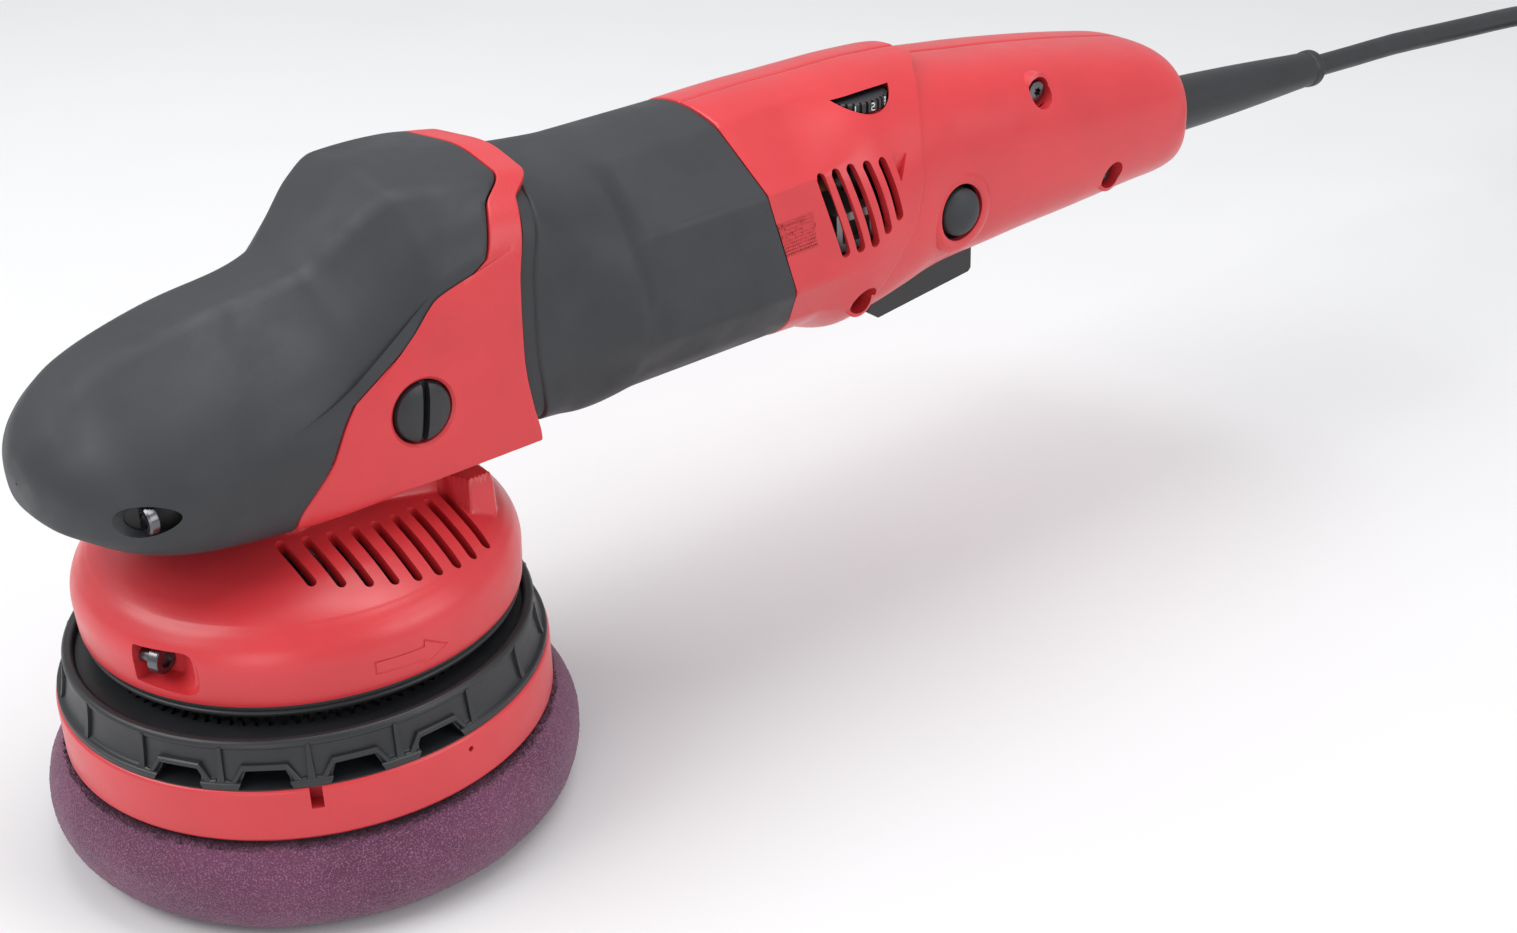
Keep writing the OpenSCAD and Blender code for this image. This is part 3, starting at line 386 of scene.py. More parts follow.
def make_cord():
    pts = curve_through(ROUTE, 2)[:-1]
    per_turn = 40
    for i in range(int(COIL_TURNS * per_turn) + 1):
        t = i / per_turn
        r, z = coil_point(t)
        a = math.pi / 2 - 2 * math.pi * t
        pts.append(np.array((COIL_X + r * math.cos(a), COIL_Y + r * math.sin(a), z)))
    for x in (659, 652, 645, 638, 631, 624, 616):
        pts.append(np.array((x, PLUG_Y, 11.4 + 0.6 * (COIL_X - x) / 50)))
    cu = bpy.data.curves.new("mains_cord", "CURVE")
    cu.dimensions = "3D"
    cu.bevel_depth = CORD_R * MM
    cu.bevel_resolution = 5
    cu.use_fill_caps = True
    sp = cu.splines.new("POLY")
    sp.points.add(len(pts) - 1)
    for q, p in zip(sp.points, pts):
        q.co = (*(p * MM), 1)
    sp.use_smooth = True
    return linked("mains_cord", cu)


cord_piece = make_cord()
keep(cord_piece, "tool", "cord_rubber", ["cord_tube", "cord_coil", "cord_tail"])


def make_plug():
    """Flat two pin plug lying on its side, with a ribbed neck, two pins and their sleeves."""
    levels = []
    for x, w, h in ((615, 5, 5), (613.5, 5.3, 5.3), (604, 6.3, 6.3), (595, 8.2, 8), (592.5, 10.5, 9.4),
                    (590.5, 14.5, 10.6), (587, 17.3, 11.7), (582, 18, 12), (569, 18, 12), (566, 17.7, 11.7),
                    (564.4, 16.8, 10.9), (PLUG_FACE, 15.5, 9.8)):
        ring = []
        for k in range(48):
            a = 2 * math.pi * k / 48
            c, s = math.cos(a), math.sin(a)
            e = 2 / 2.6
            ring.append((x, PLUG_Y + w * math.copysign(abs(c) ** e, c), PLUG_Z + h * math.copysign(abs(s) ** e, s)))
        levels.append(ring)
    plug = clean(add("plug_body", *grid(levels, True, (True, True))))
    rib = [(4.4, -0.55), (9, -0.55), (9, 0.55), (4.4, 0.55)]
    cut(plug, [place(turned("rib", rib, 40), frame_at((x, PLUG_Y, PLUG_Z), (1, 0, 0)))
               for x in (598, 601.5, 605, 608.5)])
    keep(plug, "tool", "cord_rubber", ["mains_plug"])

    def on_both_pins(name, piece, profile, closed):
        return join(name, [place(turned(piece, profile, 32, closed=closed),
                                 frame_at((PLUG_FACE, PLUG_Y + off, PLUG_Z), (-1, 0, 0))) for off in (-9.5, 9.5)])

    pin = [(0, 0), (2.4, 0), (2.4, 17.6), (2.1, 18.6), (1.4, 19), (0, 19)]
    pair = on_both_pins("plug_pin_pair", "pin", pin, False)
    keep(pair, "tool", "plug_pins", ["plug_pins"])
    sleeve = [(2.4, 0), (2.42, 0), (2.42, 8), (2.4, 8)]
    band = on_both_pins("plug_pin_sleeves", "sleeve", sleeve, True)
    keep(band, "tool", "black_plastic")
    return plug, pair, band


def make_tie():
    """Strap round the section of the coil, with its loose end."""
    angle = math.radians(40)
    outline = soft_outline([(-16.6, 0.1), (16.6, 0.1), (16.6, 31.6), (-16.6, 31.6)], 5)
    inner = soft_outline([(-15.5, 0.05), (15.5, 0.05), (15.5, 30.5), (-15.5, 30.5)], 4)
    rows_o, rows_i = [], []
    for y in (-8, -7.4, 0, 7.4, 8):
        e = 0.35 if abs(y) == 8 else 0
        rows_o.append([(p[0] * (1 - e / 16), y, p[1] - e * (1 if p[1] > 16 else -1)) for p in outline])
        rows_i.append([(p[0], y, p[1]) for p in inner])
    o = thick("tie_strap", rows_o, rows_i, close=True)
    end = prism("tie_end", [(-9, -6.8), (12, -6.8), (13.5, -5.5), (13.5, 5.5), (12, 6.8), (-9, 6.8)], 31.5, 32.5)
    place(end, Matrix.Rotation(math.radians(4), 4, "Y"))
    o = join("cord_tie_strap", [o, end])
    middle = Vector((COIL_X + COIL_MIDDLE * math.cos(angle), COIL_Y + COIL_MIDDLE * math.sin(angle), 0))
    place(o, Matrix.Translation(middle * MM) @ Matrix.Rotation(angle, 4, "Z"))
    return keep(o, "tool", "hook_fabric", ["cord_tie"], FINISH["carbon"])


plug_pieces = make_plug()
tie_piece = make_tie()


# ---- smooth skins through measured sections
def smooth_table(x, y, q):
    """Monotone cubic curve through the rows of y at x, read at q."""
    x, y, q = np.asarray(x, float), np.asarray(y, float), np.asarray(q, float)
    flat = y.ndim == 1
    if flat:
        y = y[:, None]
    h = np.diff(x)[:, None]
    d = np.diff(y, axis=0) / h
    m = np.zeros_like(y)
    m[0], m[-1] = d[0], d[-1]
    for i in range(1, len(x) - 1):
        w1, w2 = 2 * h[i] + h[i - 1], h[i] + 2 * h[i - 1]
        same = d[i - 1] * d[i] > 0
        da, db = np.where(same, d[i - 1], 1), np.where(same, d[i], 1)
        m[i] = np.where(same, (w1 + w2) / (w1 / da + w2 / db), 0)
    i = np.clip(np.searchsorted(x, q, side="right") - 1, 0, len(x) - 2)
    t = ((q - x[i]) / (x[i + 1] - x[i]))[..., None]
    hh = (x[i + 1] - x[i])[..., None]
    out = ((1 + 2 * t) * (1 - t) ** 2 * y[i] + t * (1 - t) ** 2 * hh * m[i] + t * t * (3 - 2 * t) * y[i + 1]
           + t * t * (t - 1) * hh * m[i + 1])
    return out[..., 0] if flat else out


class Skin:
    """Surface through stations; its columns run lengthwise, and places on them are in millimetres of length."""

    def __init__(self, stations, section, keys):
        self.s = np.array(stations, float)
        self.section = section
        k = self.s[:, keys]
        self.u = np.concatenate([[0], np.cumsum(np.linalg.norm(np.diff(k, axis=0), axis=1))])
        self.dense = np.linspace(0, self.u[-1], 600)
        self.pts = section(smooth_table(self.u, self.s, self.dense), np.zeros(600))
        self.n = self.pts.shape[1]
        step = np.linalg.norm(np.diff(self.pts, axis=0), axis=2)
        self.len = np.vstack([np.zeros(self.n), np.cumsum(step, axis=0)])

    def at(self, lengths, w=0.0):
        lengths = np.broadcast_to(np.asarray(lengths, float), (self.n,))
        u = np.array([np.interp(lengths[k], self.len[:, k], self.dense) for k in range(self.n)])
        w = np.broadcast_to(np.asarray(w, float), (self.n,))
        pts = self.section(smooth_table(self.u, self.s, u), w)
        return pts[np.arange(self.n), np.arange(self.n)]

    def reach(self, u):
        """Length of each column up to the station parameter u, one value or one a column."""
        u = np.broadcast_to(np.asarray(u, float), (self.n,))
        return np.array([np.interp(u[k], self.dense, self.len[:, k]) for k in range(self.n)])

    def crossing(self, edge):
        """Length of each column where it passes x = edge(z)."""
        g = self.pts[:, :, 0] - edge(self.pts[:, :, 2])
        out = np.zeros(self.n)
        for k in range(self.n):
            i = np.argmax(g[:, k] > 0)
            if i == 0:
                out[k] = 0 if g[0, k] > 0 else self.len[-1, k]
                continue
            f = -g[i - 1, k] / (g[i, k] - g[i - 1, k])
            out[k] = self.len[i - 1, k] + f * (self.len[i, k] - self.len[i - 1, k])
        return out


def edge_curve(points):
    p = np.array(points, float)
    return lambda z: smooth_table(p[:, 1], p[:, 0], np.clip(z, p[0, 1], p[-1, 1]))


LIP = ((0.0, 1.0), (0.04, 0.45), (0.2, 0.14), (0.5, 0.0))


def rows_of(skin, plan, wall, sink=0.0):
    """Outer and inner rows of a skin for a plan of (length, inset) rows."""
    return [skin.at(length, sink + w) for length, w in plan], [skin.at(length, wall) for length, _ in plan]


def lip_out(start):
    return [(start + d, w) for d, w in LIP]


def lip_in(stop):
    return [(stop - d, w) for d, w in reversed(LIP)]


def between(a, b, count):
    """Flush rows spread evenly between two lengths, without the two ends."""
    return [(a + (b - a) * s, 0.0) for s in np.linspace(0, 1, count)[1:-1]]


# ---- gear head: rubber grip and casting
HEAD = [
    [-66.4, 111.2, 0, 111.2, 0, 111.2, 111.2, 0, 111.2],
    [-65.8, 117, 3, 116.5, 7, 113, 107, 4, 104.5], [-63.8, 121.5, 6, 121, 14, 113.5, 106, 11, 102],
    [-58.6, 128.5, 8, 127.5, 23.5, 115, 103.5, 18, 99.5], [-50, 135.2, 8, 134.2, 31.5, 117.5, 101, 26, 96.5],
    [-38, 139.4, 8.5, 138.4, 35.3, 119.5, 99, 30, 94], [-22, 142.2, 9.5, 141.6, 36, 122, 97, 32, 92.5],
    [-6, 143.8, 10, 143.4, 36, 124, 96, 34, 92], [4, 146, 12, 145.3, 36, 126, 95, 34.5, 92.5],
    [12, 153, 15, 151.5, 36, 131, 94.5, 35, 93.5], [20, 160.5, 18, 158.5, 36, 138, 94.5, 35.5, 93.5],
    [28, 164, 20, 162, 36, 146, 94.5, 35.5, 93.5], [48, 163, 22, 161, 36, 150, 94.5, 35.5, 93.5],
    [58, 161.5, 22, 159.5, 36, 150, 94.5, 35.5, 93.5], [70, 159.5, 21, 157.5, 35.5, 149, 94.5, 35, 93.5]]
GRIP_EDGE = edge_curve([(-17.5, 80), (-16, 95), (-5.6, 107.5), (-1, 115.6), (5.5, 122.5), (15.5, 127), (27, 130),
                        (36, 136), (42, 146), (47, 156), (58, 162.5), (58, 180)])
CASTING_REAR = edge_curve([(53, 60), (53, 94), (51, 105), (49.7, 117), (50.3, 137), (53, 148), (56, 155.5),
                           (67, 160.5), (67, 180)])


def head_section(p, w):
    """Points round the gear head for each row of parameters; w moves the outline inwards."""
    w = np.minimum(w, 0.4 * np.minimum(p[:, 4], (p[:, 1] - p[:, 8]) / 2))
    right = [(p[:, 7] - w, p[:, 8] + w), (p[:, 4] - w, p[:, 6] + w / 2), (p[:, 4] - w, p[:, 5] - w / 2),
             (np.maximum(p[:, 2] - w / 2, 0), p[:, 3] - w)]
    cs = right + [(np.zeros(len(p)), p[:, 1] - w)] + [(-y, z) for y, z in reversed(right)]
    radii = [6, 8, 15, 3.2, 6, 3.2, 15, 8, 6]
    cs = [np.stack(c, 1) for c in cs]
    arcs, n = [], len(cs)
    for i in range(n):
        c, a, b = cs[i], cs[i - 1], cs[(i + 1) % n]
        la, lb = np.linalg.norm(a - c, axis=1) + 1e-9, np.linalg.norm(b - c, axis=1) + 1e-9
        ta, tb = np.minimum(radii[i], 0.48 * la), np.minimum(radii[i], 0.48 * lb)
        pa, pb = c + (ta / la)[:, None] * (a - c), c + (tb / lb)[:, None] * (b - c)
        arcs.append([(1 - u) ** 2 * pa + 2 * u * (1 - u) * c + u * u * pb for u in np.linspace(0, 1, 13)])
    cols = []
    for i in range(n):
        cols += arcs[i]
        a, b = arcs[i][-1], arcs[(i + 1) % n][0]
        cols += [a + (b - a) * t for t in np.linspace(0, 1, 8)[1:-1]]
    yz = np.stack(cols, 1)
    return np.concatenate([np.broadcast_to(p[:, None, :1], yz.shape[:2] + (1,)), yz], 2)


SCREW_Y, SCREW_Z = 30.5, 108


def socket_frame(side, x_dir=None):
    """Matrix of a side handle's socket, with Z pointing out of the head."""
    return frame_at((20, side * 36, 113), (0, side, 0), x_dir)


def make_head():
    skin = Skin(HEAD, head_section, [0, 1, 4])
    grip_at = skin.crossing(GRIP_EDGE)
    rear_at = skin.crossing(CASTING_REAR)
    edge_u = np.array([np.interp(grip_at[k], skin.len[:, k], skin.dense) for k in range(skin.n)])
    upright = edge_u.min() - 6
    outer, inner = [], []
    for u in np.linspace(0, upright, 90)[:-1]:
        outer.append(skin.at(skin.reach(u)))
        inner.append(skin.at(np.maximum(skin.reach(u), 4.0), 2.6))
    start = skin.reach(upright)
    plan = [(start, 0.0)] + between(start, grip_at - 0.5, 60) + lip_in(grip_at)
    rest = rows_of(skin, plan, 2.6)
    grip = thick("head_grip_skin", outer + rest[0], inner + rest[1], close=True, sharp=32)
    holes = [place(flared_prism("hole", [(disc(3.9), -64), (disc(3.9), -40)]), frame_at((0, y, SCREW_Z), (1, 0, 0)))
             for y in (-SCREW_Y, SCREW_Y)]
    cut(grip, holes, sharp=32)
    keep(grip, "tool", "black_rubber", ["head_grip"])
    front = grip_at + 0.4
    plan = lip_out(front) + between(front + 0.5, rear_at - 0.5, 40) + lip_in(rear_at)
    casting = thick("gear_head_casting", *rows_of(skin, plan, 3.0), close=True, sharp=32)
    pocket = [(0, -6), (8.3, -6), (8.3, -0.6), (9.1, 0.05), (9.1, 6), (0, 6)]
    cut(casting, [place(turned("pocket", pocket, 64), socket_frame(s)) for s in (-1, 1)], sharp=32)
    keep(casting, "tool", "red_casting", ["gear_head"])
    plan = [(3.0 + (rear_at - 5.5) * s, 2.95) for s in np.linspace(0, 1, 50)]
    core = thick("gear_head_core", *rows_of(skin, plan, 5.5), close=True)
    keep(core, "tool", "black_rubber", finish=FINISH["carbon"])
    foot = turned("gear_head_neck", [(14, 81.5), (18.4, 81.5), (19, 82.1), (19, 91.05), (26, 91.05), (26, 96),
                                     (14, 96)], 96)
    keep(foot, "tool", "red_casting")
    collar = turned("neck_collar", [(26.1, 88.9), (27.6, 88.9), (28.2, 89.5), (28.2, 93.2), (26.1, 93.2)], 96)
    keep(collar, "tool", "black_plastic")
    for s, word in ((-1, "left"), (1, "right")):
        seat = turned("plug_seat", [(0, -4.7), (8.2, -4.7), (8.2, -4.3), (0, -4.3)], 48)
        place(seat, socket_frame(s))
        seat.name = "plug_seat_" + word
        keep(seat, "tool", "black_plastic")
        plug = turned("plug", [(0, -4.2), (7.5, -4.2), (7.6, -3.8), (7.6, -0.5), (7.3, 0.15), (6.2, 0.75), (3.6, 1.15),
                               (0, 1.3)], 64, closed=False)
        bar = prism("bar", [(-9, -0.95), (9, -0.95), (9, 0.95), (-9, 0.95)], -1.4, 4)
        cut(plug, [bar])
        place(plug, socket_frame(s, (0.14, 0, 1)))
        plug.name = "handle_plug_" + word
        keep(plug, "tool", "black_plastic", ["handle_plugs"] if s < 0 else [])
        tip = turned("grip_screw", [(0, 0), (3.4, 0), (3.5, 0.3), (3.5, 1.8), (3.1, 2.3), (1.9, 2.3), (1.9, 1.2),
                                    (0, 1.2)], 40, closed=False)
        place(tip, frame_at((-48, s * SCREW_Y, SCREW_Z), (-1, 0, 0)))
        tip.name = "grip_screw_" + word
        keep(tip, "tool", "screws", ["grip_screws"] if s < 0 else [])


make_head()


# ---- motor housing
BARREL_R, BARREL_LOW = 37.6, 32.5
HOUSING = [[44, 125.2, 35.2, 33.7, 32, 5], [48, 125, 35.2, 33.5, 32, 5], [58, 124.5, 35, 33, 32.5, 4.5],
           [64, 123, 35, 33, 32.6, 3.8], [72, 120.5, 35.8, 34.3, 32.8, 3], [82, 118.4, 37.2, 36.6, 32.6, 2.3],
           [92, 117.7, BARREL_R, BARREL_R, BARREL_LOW, 2], [152, 117.7, BARREL_R, BARREL_R, BARREL_LOW, 2]]
FACETS = [((15.2, 34.2), (31.8, 18.7)), ((31.8, 18.7), (36.3, -9.2)), ((36.3, -9.2), (26.5, -25.5))]


def flats(y, z, share):
    """Presses shallow flats into a round outline."""
    for a, b in FACETS:
        a, b = np.array(a), np.array(b)
        n = np.array([(b - a)[1], -(b - a)[0]])
        n = n / np.linalg.norm(n)
        n = n if n @ a > 0 else -n
        d = n @ a
        over = np.maximum(np.abs(y) * n[0] + z * n[1] - d, 0) * share
        y, z = y - np.sign(y) * over * n[0], z - over * n[1]
    return y, z


def round_section(angles, flat_from, flat_to=(900, 901)):
    c, s = np.cos(angles), np.sin(angles)

    def section(p, w):
        n = 2 / p[:, 5][:, None]
        w = w[:, None] if w.ndim == 1 else w
        up = np.where(s[None] < 0, p[:, 4][:, None], p[:, 3][:, None]) - w
        y = (p[:, 2][:, None] - w) * np.sign(c)[None] * np.abs(c)[None] ** n
        z = up * np.sign(s)[None] * np.abs(s)[None] ** n
        x = p[:, 0]
        share = np.clip((x - flat_from[0]) / (flat_from[1] - flat_from[0]), 0, 1)
        share = share * (1 - np.clip((x - flat_to[0]) / (flat_to[1] - flat_to[0]), 0, 1))
        ky = p[:, 2][:, None] / BARREL_R
        kz = np.where(s[None] < 0, p[:, 4][:, None] / BARREL_LOW, p[:, 3][:, None] / BARREL_R)
        y, z = flats(y / ky, z / kz, (share * share * (3 - 2 * share))[:, None])
        y, z = y * ky, z * kz
        return np.stack([np.broadcast_to(x[:, None], y.shape), y, z + p[:, 1][:, None]], 2)

    return section


def make_housing():
    angles = np.linspace(0, 2 * np.pi, 161)[:-1]
    skin = Skin(HOUSING, round_section(angles, (84, 93)), [0, 1, 2, 3])
    front = skin.crossing(lambda z: CASTING_REAR(z) + 0.5)
    back = skin.crossing(lambda z: 127 + (155.3 - z) * 0.2)
    step = [(0, 1.6), (0.05, 1.0), (0.3, 0.75), (0.6, 0.7), (3.6, 0.7), (3.9, 0.66), (4.3, 0.2), (4.6, 0.05), (5, 0)]
    plan = [(front + d, w) for d, w in step] + between(front + 5, back - 0.5, 90) + lip_in(back)
    o = thick("motor_barrel", *rows_of(skin, plan, 3.4), close=True, sharp=30)
    keep(o, "tool", "black_rubber", ["motor_housing"])


make_housing()


# ---- handle shells
FRONT = [[118, 117.7, 37.6, 37.6, 32.5, 2], [150, 118, 37, 37.8, 33.5, 2.05], [166, 118, 35.8, 37.6, 38, 2.1],
         [180, 118, 34, 37.6, 38, 2.15], [197, 117.5, 32.6, 37.2, 34, 2.3], [216, 117, 31.4, 36, 31, 2.4]]
BACK = [[160, 117.6, 33, 36, 36, 2.3], [175, 117.4, 32.6, 35.6, 35.5, 2.35], [188, 117.3, 32.2, 35.2, 32.5, 2.4],
        [197, 117.2, 31.2, 34.8, 30, 2.45], [205, 117, 30.3, 34.2, 28.5, 2.5], [230, 117, 29.5, 31, 27, 2.6],
        [260, 116, 28.5, 27.6, 25, 2.6], [290, 114.5, 27, 23.6, 22.5, 2.6], [300, 113.6, 26.2, 22.2, 21.6, 2.6],
        [307, 112.6, 24.6, 20, 20, 2.6], [310.2, 111.4, 22, 17.4, 18, 2.6], [311.7, 110.2, 18.8, 15.2, 15.6, 2.5],
        [312, 108.4, 14, 12, 12.2, 2.3], [312, 107, 10.4, 10, 10, 2], [311.6, 106.84, 9.4, 9.4, 9.4, 2]]
SWEEP = edge_curve([(165, 60), (168.5, 88), (173.7, 98.9), (178.4, 107.6), (182.9, 114.6), (186, 124), (187.7, 131.9),
                    (190, 139.2), (193.3, 145.9), (197, 150), (201, 152.6), (205, 153.6), (206, 157)])
SHELL_WALL = 2.8
SCREWS = [(241, 137), (272, 104), (167, 95)]
BUTTON_X, BUTTON_Z = 203, 112
DIAL_X, DIAL_Y = 176, -11.8
CUPS = [3.2, 5.2, 7.4]


def make_handle():
    top, bottom = math.radians(90), math.radians(270)
    seam = np.array([(0.12, 0.9), (0.2, 0.42), (0.45, 0.14), (1, 0)])
    near = np.radians(seam[:, 0])
    angles = np.concatenate([top + near, np.linspace(top, bottom, 125)[2:-2], bottom - near[::-1]])
    sink = np.zeros(len(angles))
    sink[:4], sink[-4:] = seam[:, 1], seam[::-1, 1]
    for side, word in ((-1, "left"), (1, "right")):
        a = angles if side < 0 else np.pi - angles
        fa = Skin(FRONT, round_section(a, (84, 93), (146, 172)), [0, 1, 2, 3])
        fb = Skin(BACK, round_section(a, (2000, 2001)), [0, 1, 2, 3])
        start = fa.crossing(lambda z: 127.45 + (155.3 - z) * 0.2)
        stop = fa.crossing(SWEEP)
        again = fb.crossing(SWEEP)
        plan = lip_out(start) + between(start + 0.5, stop - 0.6, 75)
        plan += [(stop - d, w) for d, w in ((0.6, 0), (0.3, 0.1), (0.08, 0.35))]
        outer, inner = rows_of(fa, plan, SHELL_WALL, sink)
        plan = [(again + d, w) for d, w in ((-0.02, 0.06), (0.35, 0), (1, 0))]
        step_rows = rows_of(fb, plan, SHELL_WALL, sink)
        outer, inner = outer + step_rows[0], inner + step_rows[1]
        end = fb.len[-1]
        for s in np.concatenate([np.linspace(0, 0.86, 90)[1:], np.linspace(0.86, 1, 40)[1:]]):
            length = again + 1 + (end - again - 1) * s
            turn = np.clip((length - end + 15) / 12, 0, 1)
            outer.append(fb.at(length, sink))
            inner.append(fb.at(length, 2.4 * (1 - turn)) - np.outer(turn, (2.4, 0, 0)))
        shell = thick("handle_shell_skin_" + word, outer, inner, close=False, sharp=30)
        tools = []
        for k in range(5):
            short = max(0, k - 2)
            m = frame_at((152.5 + 5.3 * k, side * 36, 125.5 + short), (0, 1, 0), (1, 0, 0.249))
            tools.append(place(prism("vent", capsule(25 - 3 * short, 1.5), -20, 20), m))
        notch = soft_outline([(177.4, 128.4), (181.6, 135.6), (175.6, 136.6)], 0.8, 3)
        m = Matrix.Translation((0, side * 34.6 * MM, 0)) @ Matrix.Rotation(math.pi / 2, 4, "X")
        tools.append(place(prism("notch", notch, -4, 4), m))
        tools.append(prism("guard", [(183.6, -12.6), (228.4, -12.6), (228.4, 12.6), (183.6, 12.6)], 60, 95.5))
        if side < 0:
            tools.append(prism("dial_pocket", [(x + DIAL_X, y + DIAL_Y) for x, y in disc(12.1, 64)], 146.1, 151.1))
            b = turned("button_hole", [(0, -9), (8.4, -9), (8.4, 9), (0, 9)], 64)
            tools.append(place(b, frame_at((BUTTON_X, -31, BUTTON_Z), (0, -1, 0))))
            for x, z in SCREWS:
                b = turned("recess", [(0, -13.6), (4.4, -13.6), (4.4, 14), (0, 14)], 48)
                tools.append(place(b, frame_at((x, -34, z), (0, -1, 0))))
        cut(shell, tools, sharp=30)
        keep(shell, "tool", "red_plastic", ["handle_shell_" + word])


make_handle()


# ---- hood
HOOD_OUT = [(55.5, 57.3), (55.8, 57.7), (56, 60), (56.3, 67), (55.9, 69.4), (54.9, 71.9), (52.5, 75), (50.2, 76.9),
            (47.5, 78.5), (44, 80.1), (40, 81.8), (35, 83.5), (30, 85), (26.5, 86.2), (24.5, 87.2), (23.6, 88.4),
            (23, 89.8), (22.4, 90.6), (21.6, 91), (19.2, 91)]
PLATFORM_SIDE = [(-13, -22), (-10, -23.5), (29, -22.5), (31.5, -28), (33, -31.5), (40, -31.5)]
PLATFORM = PLATFORM_SIDE + [(x, -y) for x, y in reversed(PLATFORM_SIDE)]
CLAMPS = [("front", math.radians(203)), ("back", math.radians(23))]


def outline_distance(x, y, outline):
    """Signed distance to a closed outline, negative inside."""
    p = np.array(outline, float)
    best = np.full(x.shape, 1e9)
    inside = np.zeros(x.shape, bool)
    for i in range(len(p)):
        a, b = p[i], p[(i + 1) % len(p)]
        e = b - a
        t = np.clip(((x - a[0]) * e[0] + (y - a[1]) * e[1]) / (e @ e), 0, 1)
        best = np.minimum(best, np.hypot(x - a[0] - t * e[0], y - a[1] - t * e[1]))
        crosses = ((a[1] > y) != (b[1] > y)) & (x < (b[0] - a[0]) * (y - a[1]) / (b[1] - a[1] + 1e-12) + a[0])
        inside ^= crosses
    return np.where(inside, -best, best)


def clamp_scoop(az, more=0.0, depth=48.0):
    """Cutter for the recess of a clamp screw: upright at the screw, fading out at the other end."""
    low = soft_outline([(-5 - more, -4.6 - more), (4.4, -4.6 - more), (4.4, 4.6 + more), (-5 - more, 4.6 + more)],
                       [0.8, 3, 3, 0.8])
    high = soft_outline([(-5.6 - more, -5 - more), (17.5 + more, -6.4 - more), (17.5 + more, 6.4 + more),
                         (-5.6 - more, 5 + more)], [0.8, 6, 6, 0.8])
    b = flared_prism("scoop", [(low, depth), (high, 58)])
    return place(b, Matrix(((-math.sin(az), 0, math.cos(az), 0), (math.cos(az), 0, math.sin(az), 0),
                            (0, 1, 0, 65.4 * MM), (0, 0, 0, 1))))


def make_hood():
    prof = np.array(soft_outline(HOOD_OUT, 1.2, 3))[4:-4]
    step = np.concatenate([[0], np.cumsum(np.linalg.norm(np.diff(prof, axis=0), axis=1))])
    q = np.linspace(0, step[-1], 150)
    r, z = np.interp(q, step, prof[:, 0]), np.interp(q, step, prof[:, 1])
    a = np.linspace(0, 2 * np.pi, 421)[:-1]
    x, y = r[:, None] * np.cos(a), r[:, None] * np.sin(a)
    zz = np.broadcast_to(z[:, None], x.shape).copy()
    d = outline_distance(x, y, PLATFORM)
    t = np.clip((d + 0.6) / 2.6, 0, 1)
    raised = 88.4 - 14 * (t * t * (3 - 2 * t)) - 0.02 * np.maximum(x - 10, 0)
    k = 0.9
    lift = np.logaddexp(zz / k, raised / k) * k
    zz = np.where((r[:, None] < 51) & (zz < 88.4), lift, zz)
    outer = np.stack([x, y, zz], 2)
    ri = np.maximum(r - 2.6, 19.2)
    zi = np.minimum(np.maximum(z - 2.6, 57.3), 88)
    inner = np.stack([ri[:, None] * np.cos(a), ri[:, None] * np.sin(a), np.broadcast_to(zi[:, None], x.shape)], 2)
    hood = thick("hood_skin", outer, inner, close=True, sharp=40)
    tools = []
    for i in range(9):
        sx = -15.8 + 5.65 * i
        y0, y1 = 29.7 - 0.0115 * (sx - 7) ** 2, 47.8 - 0.015 * (sx - 10) ** 2
        for s in (-1, 1):
            outline = [(px + sx, py + s * (y0 + y1) / 2) for px, py in capsule(y1 - y0 + 2.4, 1.2)]
            tools.append(flared_prism("slot", [(outline, 66), (outline, 96)]))
    cut(hood, tools, sharp=40)
    cut(hood, [clamp_scoop(az) for _, az in CLAMPS], sharp=40)
    for word, az in CLAMPS:
        rows = []
        for a in az + np.radians(np.linspace(-19, 19, 25)):
            rows.append([(r * math.cos(a), r * math.sin(a), z) for r, z in
                         ((46.6, 57.7), (54.4, 57.7), (54.4, 69), (52.5, 73.4), (50.4, 75), (46.6, 75))])
        tray = clean(add("clamp_recess_" + word, *grid(rows, True, (True, True))))
        cut(tray, [clamp_scoop(az, 0.05, 49.2)], sharp=40)
        keep(tray, "tool", "red_plastic")
    for segment in arrow_groove():
        cut(hood, [segment], sharp=40)
    keep(hood, "tool", "red_plastic", ["hood"])
    for word, az in CLAMPS:
        out, along = Vector((math.cos(az), math.sin(az), 0)), Vector((-math.sin(az), math.cos(az), 0))
        at = frame_at(out * 52.3 + Vector((0, 0, 65.8)) - along * 1.5, along)
        head = turned("clamp_head", [(0, 0), (3.3, 0), (3.6, 0.3), (3.6, 2.7), (3.3, 3.0), (1.9, 3.0), (1.8, 2.2),
                                     (0, 2.0)], 48, closed=False)
        shank = turned("clamp_shank", [(0, -9), (1.9, -9), (1.9, 0.2), (0, 0.2)], 32)
        both = join("clamp_screw_" + word, [place(head, at), place(shank, at)])
        keep(both, "tool", "screws", ["hood_clamp_screw"] if word == "front" else [])
    seal = turned("seal_band", soft_outline([(50, 53.7), (54, 53.7), (54.9, 54.4), (55.1, 55.2), (54.6, 55.6), (55, 56),
                                             (55, 57.25), (50, 57.25)], 0.25, 3), 160)
    keep(seal, "tool", "black_plastic", ["hood_seal"])


